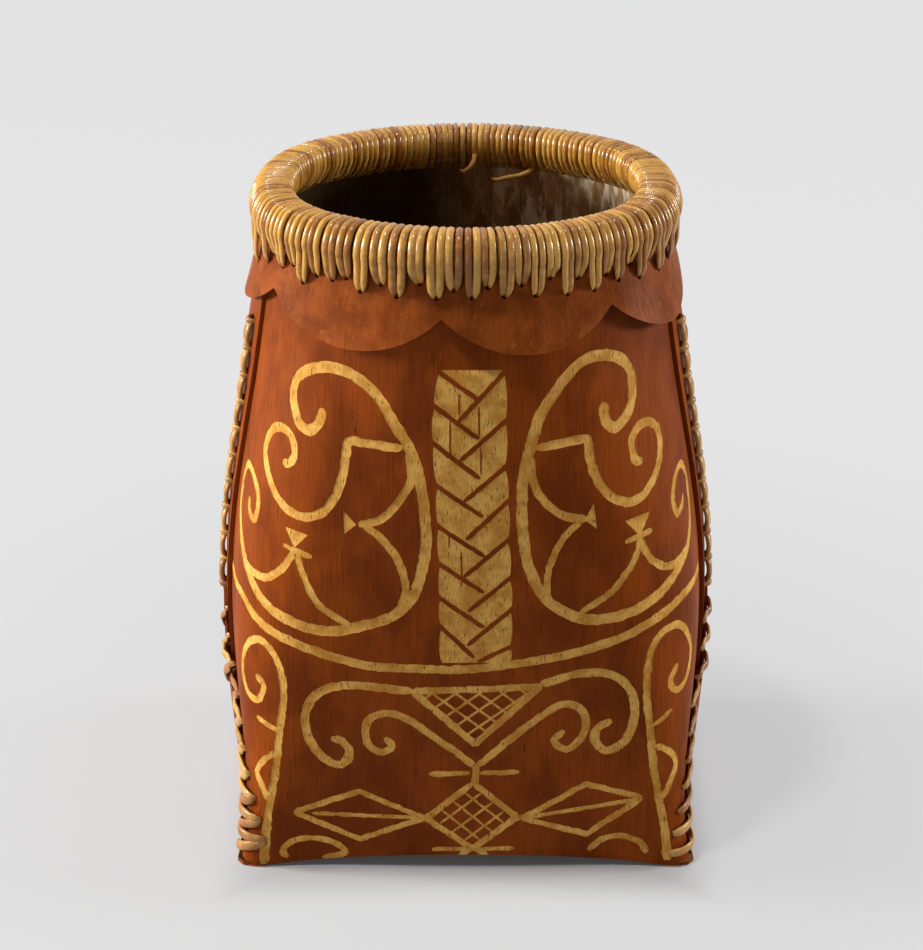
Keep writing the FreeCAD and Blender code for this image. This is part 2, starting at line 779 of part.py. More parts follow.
# ---- the hoops ----
def level_sketch(body, name, outline):
    """An outline sketched in a body, above its level plane."""
    sketch = body.newObject("Sketcher::SketchObject", name)
    plane = next(feature for feature in body.Origin.OriginFeatures if feature.Role == "XY_Plane")
    sketch.AttachmentSupport = [(plane, "")]
    sketch.MapMode = "FlatFace"
    sketch.AttachmentOffset = Placement(Vector(0, 0, outline.height.number), Rotation())
    sketch.setExpression("AttachmentOffset.Base.z", outline.height.text)
    draw_loop(sketch, ((outline, ALL_ARCS),))
    return sketch


def hoop(name, outside, inside):
    """A bent wooden hoop: its two faces lofted up the leaning wall, with a slanting joint at the back.

    outside and inside list (height, offset at the ends, offset at front and back) for the two faces.
    """
    body = doc.addObject("PartDesign::Body", name)
    for kind, levels in (("Additive", outside), ("Subtractive", inside)):
        sketches = [
            level_sketch(body, f"{name}_{kind}_{index}", rim_outline(*place))
            for index, place in enumerate(levels)
        ]
        loft = body.newObject(f"PartDesign::{kind}Loft", f"{name}_{kind}")
        loft.Profile = sketches[0]
        loft.Sections = sketches[1:]
        loft.Ruled = True
    joint = body.newObject("PartDesign::SubtractiveBox", f"{name}_joint")
    for side, size in (
        ("Length", cell("hoop_scarf_length")),
        ("Width", cell("hoop_scarf")),
        ("Height", cell("hoop_drop") + GAP * plain(2)),
    ):
        setattr(joint, side, size.number)
        joint.setExpression(side, size.text)
    turn = Rotation(UP, cell("hoop_scarf_turn").number)
    offsets = [place[2].number for place in outside + inside]
    middle_offset = (max(offsets) + min(offsets)) / 2
    centre = Vector(0, cell("rim_half_depth").number + middle_offset + lean_middle, 0)
    corner = centre - turn.multVec(Vector(joint.Length.Value / 2, joint.Width.Value / 2, 0))
    joint.Placement = Placement(Vector(corner.x, corner.y, (hoop_foot - GAP).number), turn)
    joint.setExpression("Placement.Base.z", (hoop_foot - GAP).text)
    return body


hoop_foot = WALL_TOP - cell("hoop_drop")
hoop_widest = WALL_TOP - cell("hoop_widest_drop")
lean_middle = (cell("rim_lean") * cell("hoop_drop") * HALF).number
hoop_profile = (
    (hoop_foot, cell("hoop_edge")),
    (hoop_widest, cell("hoop_thickness")),
    (WALL_TOP, cell("hoop_top_width")),
)
outer_hoop = hoop(
    "outer_hoop",
    [(height, HOOP_IN_ENDS + depth, HOOP_IN_SIDES + depth) for height, depth in hoop_profile],
    [(height, HOOP_IN_ENDS, HOOP_IN_SIDES) for height in (hoop_foot, WALL_TOP)],
)
inner_hoop = hoop(
    "inner_hoop",
    [(height, INNER_HOOP_FACE, INNER_HOOP_FACE) for height in (hoop_foot, WALL_TOP)],
    [(height, INNER_HOOP_FACE - depth, INNER_HOOP_FACE - depth) for height, depth in hoop_profile],
)


# ---- the roots of the rim ----
def rim_turn(index):
    """One turn of root: out of its hole, over both hoops and back through it from the inside."""
    distance = (index + 0.5) * turn_pitch
    height = hole_height(index // 2)
    thickness = cell("root_thickness").number
    at_collar = rim_offset(collar_line, distance) + gap
    at_hoop = rim_offset(hoop_line, distance) + gap
    to_shoulder = (cell("hoop_thickness") - cell("hoop_top_width")).number
    at_inside = (INSIDE - GAP).number
    at_inner_hoop = (INNER_HOOP_FACE - cell("hoop_thickness") - GAP).number
    over = (WALL_TOP + GAP).number
    loop = [
        (at_collar, height + thickness / 2),
        (at_hoop, hoop_widest.number),
        (at_hoop - to_shoulder, over),
        (at_inner_hoop + to_shoulder, over),
        (at_inner_hoop, hoop_widest.number),
        (at_inside, height + thickness / 2),
    ]
    half_top = cell("rim_root_width").number / 2
    half_hole = cell("rim_root_pinch").number / 2
    to_hole = (turn_pitch - 2 * half_hole - clearance) / 2 * (-1 if index % 2 else 1)
    fan = half_top / math.sqrt(cell("rim_half_width").number * cell("rim_half_depth").number) / 2

    def to_space(point, side):
        offset, up = point
        share = (over - up) / (over - height)
        half = half_top + (half_hole - half_top) * share + fan * offset
        return rim_place(distance, offset, up, to_hole * share + side * half)

    return root_loop(loop, thickness, to_space)


rim_roots = []
for length in range(count("rim_root_lengths")):
    first = length * count("turns_per_length")
    turn_range = range(first, first + count("turns_per_length"))
    rim_roots.append(made_of(f"rim_root_{length + 1:02d}", [rim_turn(index) for index in turn_range]))


# ---- the seams ----
seam_width = cell("seam_root_width").number
seam_thickness = cell("seam_root_thickness").number
seam_inside = (INSIDE - GAP).number


def end_seam(side):
    """The running stitches that hold the two wings together at one end, and their awl holes."""
    across = (cell("end_seam_setback") - cell("back_wing_edge")).number
    start = Vector(0, across, 0)
    outward = Vector(side, 0, 0)
    foot = cell("end_seam_foot").number
    stitches = count("end_seam_stitches")
    pitch = (cell("end_seam_head").number - foot) / stitches
    from_hole = seam_thickness + clearance / 2

    def at(height, offset):
        return wall_track(height).reach(start, outward) + offset, height

    def to_space(point, edge):
        return Vector(side * point[0], across + edge * seam_width / 2, point[1])

    solids = []
    holes = []
    for index in range(stitches + 1):
        height = foot + index * pitch
        inside, outside = (
            Vector(side * at(height, offset)[0], across, height)
            for offset in (seam_inside - bark, SECOND_OUTSIDE.number + bark)
        )
        holes.append(
            awl_hole(inside, outside, seam_width + 2 * clearance, 2 * (seam_thickness + clearance) + clearance)
        )
        if index == stitches:
            break
        low, high = height + from_hole, height + pitch - from_hole
        over = SECOND_OUTSIDE.number + gap
        loop = [at(low, seam_inside), at(low, over), at(high, over), at(high, seam_inside)]
        solids.append(root_loop(loop, seam_thickness, to_space))
    return solids, holes


def flap_seam(side, depth):
    """The whip stitches over one slanting edge of an end flap, and their awl holes."""
    reach = cell("flap_stitch_reach").number
    leg = reach - seam_thickness / 2
    lap = seam_width / 2 * (cell("flap_half_base").number / cell("flap_height").number) + gap
    toward_panel = side * depth
    foot = cell("flap_seam_foot").number
    stitches = count("flap_seam_stitches")
    pitch = (cell("flap_seam_head").number - foot) / (stitches - 1)
    solids = []
    holes = []
    for index in range(stitches):
        height = foot + index * pitch
        line = wall_track(height)
        flap_edge = line.crossing(side, depth * flap_half_width(height))
        on_wing = depth > 0 or flap_half_width(height) < cell("back_wing_edge").number
        over_panel = (SECOND_OUTSIDE if on_wing else NOTHING).number + gap
        over_flap = THIRD_OUTSIDE.number + gap

        def at(aside, offset):
            distance = flap_edge + toward_panel * aside
            return line.place(distance) + line.normal(distance) * offset

        places = (
            at(-leg, seam_inside),
            at(-leg, over_flap),
            at(lap, over_flap),
            at(leg, over_panel),
            at(leg, seam_inside),
        )
        solids.append(
            root_loop(
                [(place.x, place.y) for place in places],
                seam_thickness,
                lambda point, edge: Vector(*point, height + edge * seam_width / 2),
            )
        )
        for aside in (-reach, reach):
            inside, outside = (at(aside, offset) for offset in (seam_inside - bark, over_flap + bark))
            lift = UP * (height - inside.z)
            holes.append(
                awl_hole(
                    inside + lift, outside + lift, seam_thickness + 2 * clearance, seam_width + 2 * clearance
                )
            )
    return solids, holes


seam_roots = []
seam_holes = []
for side_name, side in SIDES:
    solids, holes = end_seam(side)
    seam_roots.append(made_of(f"{side_name}_seam_root", solids))
    seam_holes += holes
    for depth_name, depth in DEPTHS:
        solids, holes = flap_seam(side, depth)
        seam_roots.append(made_of(f"{side_name}_{depth_name}_flap_root", solids))
        seam_holes += holes
seamed_sheet = cut("seamed_sheet", unpierced, made_of("seam_awl_holes", seam_holes))
bark_body = cut("bark_body", seamed_sheet, rim_holes)

# ---- checks and files ----
PARTS = (bark_body, collar, outer_hoop, inner_hoop, *rim_roots, *seam_roots)
for part in PARTS:
    part.Label = part.Name
doc.recompute()
for thing in doc.Objects:
    if "Invalid" in thing.State or "Error" in thing.State:
        raise RuntimeError(f"{thing.Name} failed: {thing.State}")
for part in PARTS:
    if part.Shape.isNull() or not part.Shape.isValid() or not part.Shape.Solids:
        raise RuntimeError(f"{part.Label} has no sound shape")
os.makedirs("parts", exist_ok=True)
for part in PARTS:
    part.Shape.exportStep(f"parts/{part.Label}.step")
    print(f"{part.Label}: {len(part.Shape.Solids)} solids, {part.Shape.Volume / 1000:.1f} ml")
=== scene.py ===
"""A birch bark container, dressed: folded bark, scraped ornament, scalloped collar and lashed rim.

Lengths are in millimetres until a mesh is made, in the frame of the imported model.
"""

import logging
import math
from dataclasses import dataclass, field
from enum import Enum, IntEnum
from typing import Callable

import bpy
import numpy as np
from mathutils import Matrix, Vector, kdtree
from mathutils.geometry import delaunay_2d_cdt


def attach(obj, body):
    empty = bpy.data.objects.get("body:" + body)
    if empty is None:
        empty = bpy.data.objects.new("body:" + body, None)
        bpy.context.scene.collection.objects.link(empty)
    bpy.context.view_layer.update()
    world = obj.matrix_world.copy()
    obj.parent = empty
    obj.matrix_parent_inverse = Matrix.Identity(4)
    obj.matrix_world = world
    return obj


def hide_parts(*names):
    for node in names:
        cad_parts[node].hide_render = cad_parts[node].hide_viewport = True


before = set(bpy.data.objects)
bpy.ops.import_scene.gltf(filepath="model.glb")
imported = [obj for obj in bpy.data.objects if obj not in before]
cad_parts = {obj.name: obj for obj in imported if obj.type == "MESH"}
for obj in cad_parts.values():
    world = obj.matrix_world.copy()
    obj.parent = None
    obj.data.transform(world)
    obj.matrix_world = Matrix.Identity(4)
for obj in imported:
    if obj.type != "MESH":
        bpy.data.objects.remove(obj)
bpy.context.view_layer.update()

logging.basicConfig(level=logging.INFO, format="%(message)s")
LOG = logging.getLogger("bark_container")

MM = 0.001
Flat = tuple[float, float]
Hole = tuple[float, float, float]
Grid = np.ndarray
Socket = bpy.types.NodeSocket
Tree = bpy.types.NodeTree
Material = bpy.types.Material
Piece = bpy.types.Object


# ---- small helpers ----
def colour(code: str) -> tuple[float, float, float, float]:
    """Turns an sRGB hex colour to the linear values that a shader takes.

    Args:
        code: The colour as "#rrggbb".

    Returns:
        Linear red, green and blue, and an alpha of 1.
    """
    parts = (int(code[i : i + 2], 16) / 255 for i in (1, 3, 5))
    linear = (p / 12.92 if p <= 0.04045 else ((p + 0.055) / 1.055) ** 2.4 for p in parts)
    return (*linear, 1.0)


def add_node(tree: Tree, kind: str, inputs: dict | None = None, **settings) -> bpy.types.Node:
    """Adds a node with its settings and links.

    Args:
        tree: The tree that takes the node.
        kind: The node's type name.
        inputs: Input name or index to the socket that feeds it, or to its value.
        **settings: Properties of the node itself.

    Returns:
        The new node.
    """
    node = tree.nodes.new(kind)
    for name, value in settings.items():
        setattr(node, name, value)
    for key, value in (inputs or {}).items():
        if isinstance(value, Socket):
            tree.links.new(value, node.inputs[key])
        else:
            node.inputs[key].default_value = value
    return node


def smooth_path(points: Grid, step: float) -> Grid:
    """Draws a smooth line through points (a centripetal Catmull-Rom curve).

    Args:
        points: The points to pass through, in two or more dimensions.
        step: Wanted distance between the points of the result.

    Returns:
        The points of the smooth line.
    """
    points = np.asarray(points, float)
    if len(points) < 3:
        count = max(2, int(np.linalg.norm(points[1] - points[0]) / step) + 1)
        return points[0] + (points[1] - points[0]) * np.linspace(0, 1, count)[:, None]
    padded = np.vstack((2 * points[0] - points[1], points, 2 * points[-1] - points[-2]))
    shortest = 1e-6
    line = []
    for p0, p1, p2, p3 in zip(padded, padded[1:], padded[2:], padded[3:]):
        legs = [max(np.linalg.norm(b - a), shortest) ** 0.5 for a, b in ((p0, p1), (p1, p2), (p2, p3))]
        t0, t1, t2, t3 = np.concatenate(([0.0], np.cumsum(legs)))
        count = max(1, round(np.linalg.norm(p2 - p1) / step))
        t = np.linspace(t1, t2, count, endpoint=False)[:, None]
        a1 = (t1 - t) / (t1 - t0) * p0 + (t - t0) / (t1 - t0) * p1
        a2 = (t2 - t) / (t2 - t1) * p1 + (t - t1) / (t2 - t1) * p2
        a3 = (t3 - t) / (t3 - t2) * p2 + (t - t2) / (t3 - t2) * p3
        b1 = (t2 - t) / (t2 - t0) * a1 + (t - t0) / (t2 - t0) * a2
        b2 = (t3 - t) / (t3 - t1) * a2 + (t - t1) / (t3 - t1) * a3
        line.append((t2 - t) / (t2 - t1) * b1 + (t - t1) / (t2 - t1) * b2)
    return np.vstack([*line, points[-1:]])


def way_along(points: Grid) -> Grid:
    """The distance walked along a line from its first point to each of its points."""
    steps = np.linalg.norm(np.diff(points, axis=0), axis=1)
    return np.concatenate(([0.0], np.cumsum(steps)))


def from_ends(count: int) -> Grid:
    """How many points each point of a line is from the nearer of its ends."""
    return np.minimum(np.arange(count), np.arange(count)[::-1])


def inside(points: Grid, polygon: Grid) -> Grid:
    """Tells which points lie inside a closed polygon.

    Args:
        points: The points to test.
        polygon: The polygon's corners in order.

    Returns:
        One truth value for each point.
    """
    x, y = points[:, 0], points[:, 1]
    found = np.zeros(len(points), bool)
    for (x1, y1), (x2, y2) in zip(polygon, np.roll(polygon, -1, axis=0)):
        if y1 == y2:
            continue
        found ^= ((y1 > y) != (y2 > y)) & (x < (x2 - x1) * (y - y1) / (y2 - y1) + x1)
    return found


def read_between(samples: Grid, row: Grid, column: Grid) -> Grid:
    """Reads an even grid of samples between its rows and columns.

    Args:
        samples: Numbers, or lists of numbers, by row and column.
        row: Places along the rows, counted in rows. Past the last one they stop just short of it.
        column: Places along the columns, counted in columns and none past the last.

    Returns:
        The samples there, each mixed from the four round it.
    """
    row = np.clip(row, 0, samples.shape[0] - 1.001)
    i, j = row.astype(int), np.minimum(column.astype(int), samples.shape[1] - 2)
    listed = (...,) + (None,) * (samples.ndim - 2)
    a, b = (row - i)[listed], (column - j)[listed]
    near = samples[i, j] * (1 - a) + samples[i + 1, j] * a
    far = samples[i, j + 1] * (1 - a) + samples[i + 1, j + 1] * a
    return near * (1 - b) + far * b


def make_object(name: str, points: Grid, faces: list, materials: list, indices: list | None = None,
                edges: list | None = None) -> Piece:
    """Makes a mesh object at the origin.

    Args:
        name: Name of the object and of its mesh.
        points: The points in millimetres.
        faces: The point numbers of each face.
        materials: The materials, in the order that indices counts them.
        indices: Each face's material, where there is more than one.
        edges: The point numbers of each loose edge.

    Returns:
        The object, in the scene.
    """
    mesh = bpy.data.meshes.new(name)
    mesh.from_pydata((np.asarray(points) * MM).tolist(), edges or [], faces)
    for material in materials:
        mesh.materials.append(material)
    if indices is not None:
        mesh.polygons.foreach_set("material_index", indices)
    mesh.polygons.foreach_set("use_smooth", [True] * len(mesh.polygons))
    mesh.update()
    piece = bpy.data.objects.new(name, mesh)
    bpy.context.scene.collection.objects.link(piece)
    return piece


def store(piece: Piece, name: str, values: Grid) -> None:
    """Keeps a number or a vector for each point of a piece.

    Args:
        piece: The piece.
        name: The attribute's name.
        values: One number, or one row of three numbers, for each point.
    """
    values = np.asarray(values, float)
    kind = "FLOAT" if values.ndim == 1 else "FLOAT_VECTOR"
    attribute = piece.data.attributes.new(name, kind, "POINT")
    attribute.data.foreach_set("value" if values.ndim == 1 else "vector", values.ravel())


# ---- the form of the wall ----
@dataclass(frozen=True)
class Section:
    """A level oval of tangent arcs: the front, a corner and an end, the same on all four quarters."""

    height: float
    half_length: float
    half_depth: float
    side_radius: float
    end_radius: float
    corner_radius: float

    def spread(self, height: float, lean: float) -> "Section":
        """The section of a straight wall that leans, at another height below this one."""
        by = lean * (self.height - height)
        return Section(height, self.half_length + by, self.half_depth + by, self.side_radius + by,
                       self.end_radius + by, self.corner_radius + by)

    def quarter(self, steps: int = 90) -> Grid:
        """Draws a quarter of the oval.

        Args:
            steps: How many points each arc has.

        Returns:
            Points from the middle of the front to the middle of the right end.
        """
        side = np.array([0.0, self.side_radius - self.half_depth])
        end = np.array([self.half_length - self.end_radius, 0.0])
        from_side = self.side_radius - self.corner_radius
        from_end = self.end_radius - self.corner_radius
        across = end - side
        apart = np.hypot(*across)
        along = (from_side**2 - from_end**2 + apart**2) / (2 * apart)
        aside = math.sqrt(from_side**2 - along**2)
        unit = across / apart
        choices = [side + unit * along + np.array([-unit[1], unit[0]]) * s for s in (aside, -aside)]
        corner = max(choices, key=lambda c: c[0] - c[1])
        first = math.atan2(*(corner - side)[::-1])
        second = math.atan2(*(corner - end)[::-1])
        pieces = []
        for centre, radius, start, stop in (
            (side, self.side_radius, -math.pi / 2, first),
            (corner, self.corner_radius, first, second),
            (end, self.end_radius, second, 0.0),
        ):
            turn = np.linspace(start, stop, steps)
            pieces.append(centre + radius * np.stack((np.cos(turn), np.sin(turn)), 1))
        return np.vstack((pieces[0][:-1], pieces[1][:-1], pieces[2]))


@dataclass
class Wall:
    """The outer face of the innermost layer of bark, which every other layer is laid on.

    The base's corners are drawn out in toes, which fade up the wall and away from the corners.
    """

    base: Section = Section(0, 108, 87, 1400, 900, 10)
    foot: Section = Section(65, 113, 92.5, 700, 480, 27)
    belly: Section = Section(130, 116.2, 96.5, 400, 290, 46)
    shoulder: Section = Section(194, 110.4, 96, 230, 180, 60)
    mouth: Section = Section(323, 89.1, 78.5, 105, 95, 60)
    neck_height: float = 258.0
    lean: float = 0.2
    bark: float = 2.0
    gap: float = 0.3
    toe_out: float = 12.5
    toe_fore: float = 10.0
    toe_height: float = 112.0
    toe_fade: float = 1.5
    corner_fade: int = 5
    row: float = 2.0
    columns: int = 801
    grid: Grid = field(init=False)
    lengths: Grid = field(init=False)

    def __post_init__(self) -> None:
        """Works out the grid of places and level normals that every lookup reads."""
        neck = self.mouth.spread(self.neck_height, self.lean)
        levels = (self.base, self.foot, self.belly, self.shoulder, neck)
        heights = np.array([s.height for s in levels]) / self.neck_height
        names = ("half_length", "half_depth", "side_radius", "end_radius", "corner_radius")
        degree = len(levels) - 1
        bows = [np.polyfit(heights, np.log([getattr(s, n) for s in levels]), degree) for n in names]
        share = np.linspace(-1, 1, self.columns)
        folded = np.where(np.abs(share) > 0.5, 1 - np.abs(share), np.abs(share)) * 2
        rows = []
        lengths = []
        for height in np.arange(0, self.mouth.height + 2 * self.row, self.row):
            if height < self.neck_height:
                sizes = [math.exp(np.polyval(bow, height / self.neck_height)) for bow in bows]
                section = Section(height, *sizes)
            else:
                section = self.mouth.spread(height, self.lean)
            points = section.quarter()
            walked = way_along(points)
            x = np.interp(folded * walked[-1], walked, points[:, 0]) * np.sign(share)
            y = np.interp(folded * walked[-1], walked, points[:, 1])
            y = np.where(np.abs(share) > 0.5, -y, y)
            corner = (np.abs(x * y) / (x.max() * y.max())) ** self.corner_fade
            toe = corner * max(0.0, 1 - height / self.toe_height) ** self.toe_fade
            x, y = x + np.sign(x) * self.toe_out * toe, y + np.sign(y) * self.toe_fore * toe
            along = np.stack((np.gradient(x), np.gradient(y)), 1)
            along[0] = along[-1] = (-1.0, 0.0)
            along /= np.linalg.norm(along, axis=1)[:, None]
            rows.append(np.stack((x, y, along[:, 1], -along[:, 0]), 1))
            lengths.append(2 * walked[-1])
        self.grid = np.array(rows)
        self.lengths = np.array(lengths)

    def half_round(self, height: Grid) -> Grid:
        """Half of the way round the wall at a height."""
        return np.interp(height, np.arange(len(self.lengths)) * self.row, self.lengths)

    def look_up(self, share: Grid, height: Grid) -> Grid:
        """Place and level normal (x, y, nx, ny) at shares of the half round and heights."""
        column = (np.asarray(share, float) + 1) % 2 / 2 * (self.columns - 1)
        return read_between(self.grid, np.asarray(height, float) / self.row, column)

    def around(self, share: Grid, height: Grid, at_sides: Grid = 0.0, at_ends: Grid | None = None,
               from_back: bool = False) -> Grid:
        """Places a layer on the wall.

        Args:
            share: Way round from the middle of the front, 0.5 at the right end and 1 at the back.
            height: Height of each place.
            at_sides: Distance outside the wall at front and back.
            at_ends: The same at the two ends, where more layers may lie below.
            from_back: Walk from the middle of the back instead, 0.5 still at the right end.

        Returns:
            The places, one row each.
        """
        share, height = np.broadcast_arrays(np.asarray(share, float), np.asarray(height, float))
        found = self.look_up(share, height)
        ends = at_sides if at_ends is None else at_ends
        out = at_sides + (ends - at_sides) * found[..., 2] ** 2
        place = found[..., :2] + found[..., 2:] * np.asarray(out)[..., None]
        if from_back:
            place = place * (1, -1)
        return np.concatenate((place, height[..., None]), -1)

    def outward(self, share: Grid, height: Grid) -> Grid:
        """Directions straight out of the wall, its slope up and down left out."""
        found = self.look_up(share, height)
        return np.concatenate((found[..., 2:], np.zeros(found.shape[:-1] + (1,))), -1)

    def end_share(self, y: float, height: float) -> float:
        """Finds where the right half of the wall passes a given y.

        Args:
            y: The y, from front to back.
            height: The height at which it is passed.

        Returns:
            The way round from the middle of the front, as a share of the half round.
        """
        half = self.columns // 2
        share = np.linspace(0, 1, half + 1)
        line = self.look_up(share[1:-1], np.full(half - 1, height))[:, 1]
        return float(np.interp(y, line, share[1:-1]))


WALL = Wall()
# how far outside the wall the outer faces of the second and third layers lie
SECOND_OUT = WALL.gap + WALL.bark
THIRD_OUT = SECOND_OUT + WALL.gap + WALL.bark
ARCH_HALF_SPAN = 98.0
ARCH_RISE = 6.0


def arch(x: Grid) -> Grid:
    """Works out how far the base is lifted off the ground.

    Args:
        x: Distance from the middle of the base.

    Returns:
        The height there, 0 past the arch's ends.
    """
    radius = (ARCH_HALF_SPAN**2 + ARCH_RISE**2) / (2 * ARCH_RISE)
    clipped = np.minimum(np.abs(x), ARCH_HALF_SPAN)
    return ARCH_RISE - radius + np.sqrt(radius**2 - clipped**2)


# ---- the camera ----
@dataclass(frozen=True)
class Eye:
    """The camera, and the way back from a pixel of its frame to the front of the wall.

    The way back is a search: rounds of moves, each worked out from probes beside the place reached.
    """

    frame_width: float = 923.0
    frame_height: float = 950.0
    focal: float = 3237.0
    centre_x: float = 465.7
    centre_y: float = 489.9
    distance: float = 1600.0
    elevation: float = math.radians(24.0)
    target_height: float = 162.5
    sensor: float = 36.0
    nearest_metres: float = 0.05
    farthest_metres: float = 50.0
    first_height: float = 205.0
    rounds: int = 30
    probe: float = 0.05
    longest_move: float = 12.0
    move_share: float = 0.8
    least_turn: float = 0.15

    def project(self, place: Grid) -> Grid:
        """Works out where places show.

        Args:
            place: The places, one row each.

        Returns:
            Their pixels, one row each.
        """
        cos, sin = math.cos(self.elevation), math.sin(self.elevation)
        x, y, z = place[..., 0], place[..., 1], place[..., 2] - self.target_height
        depth = self.distance + y * cos - z * sin
        across = self.centre_x + self.focal * x / depth
        down = self.centre_y - self.focal * (z * cos + y * sin) / depth
        return np.stack((across, down), -1)

    def to_wall(self, pixels: Grid, widest: float = 0.46) -> Grid:
        """Finds the places on the front of the wall that show at some pixels.

        Args:
            pixels: The pixels, one row each.
            widest: Largest share of the half round that counts as the front.

        Returns:
            Distance to the right of the front's middle, and height, one row for each pixel.
        """
        pixels = np.asarray(pixels, float)
        scale = self.distance / self.focal
        beside = (pixels[:, 0] - self.centre_x) * scale
        flat = np.stack((beside, self.first_height - (pixels[:, 1] - self.centre_y) * scale), 1)

        def seen(at: Grid) -> Grid:
            """Pixels of places given flat."""
            return self.project(WALL.around(at[:, 0] / WALL.half_round(at[:, 1]), at[:, 1]))

        for _ in range(self.rounds):
            here = seen(flat)
            right = (seen(flat + (self.probe, 0)) - here) / self.probe
            up = (seen(flat + (0, self.probe)) - here) / self.probe
            miss = pixels - here
            turn = right[:, 0] * up[:, 1] - right[:, 1] * up[:, 0]
            least = np.where(turn > 0, self.least_turn, -self.least_turn)
            turn = np.where(np.abs(turn) < self.least_turn, least, turn)
            move = np.stack((miss[:, 0] * up[:, 1] - miss[:, 1] * up[:, 0],
                             right[:, 0] * miss[:, 1] - right[:, 1] * miss[:, 0]), 1) / turn[:, None]
            flat = flat + np.clip(move, -self.longest_move, self.longest_move) * self.move_share
            flat[:, 1] = np.clip(flat[:, 1], 0, WALL.mouth.height)
            limit = widest * WALL.half_round(flat[:, 1])
            flat[:, 0] = np.clip(flat[:, 0], -limit, limit)
        return flat

    def place_camera(self) -> None:
        """Makes the scene's camera, which sees what this class works out."""
        data = bpy.data.cameras.new("camera")
        data.sensor_fit = "HORIZONTAL"
        data.sensor_width = self.sensor
        data.lens = self.focal * self.sensor / self.frame_width
        data.shift_x = -(self.centre_x - self.frame_width / 2) / self.frame_width
        data.shift_y = (self.centre_y - self.frame_height / 2) / self.frame_width
        data.clip_start = self.nearest_metres
        data.clip_end = self.farthest_metres
        camera = bpy.data.objects.new("camera", data)
        bpy.context.scene.collection.objects.link(camera)
        cos, sin = math.cos(self.elevation), math.sin(self.elevation)
        camera.location = (0, -self.distance * cos * MM, (self.target_height + self.distance * sin) * MM)
        camera.rotation_euler = (math.pi / 2 - self.elevation, 0, 0)
        bpy.context.scene.camera = camera


EYE = Eye()


# ---- finishes ----
class Slot(Enum):
    """The record's material slots that the built pieces take."""

    WINTER_BARK = "winter_bark"
    COLLAR_BARK = "collar_bark"
    RIM_ROOT = "rim_root"
    SEAM_ROOT = "seam_root"


def new_material(name: str) -> tuple[Material, Tree]:
    """Makes a material with an empty tree.

    Args:
        name: The material's name.

    Returns:
        The material and its tree.
    """
    material = bpy.data.materials.new(name)
    material.use_nodes = True
    material.node_tree.nodes.clear()
    return material, material.node_tree


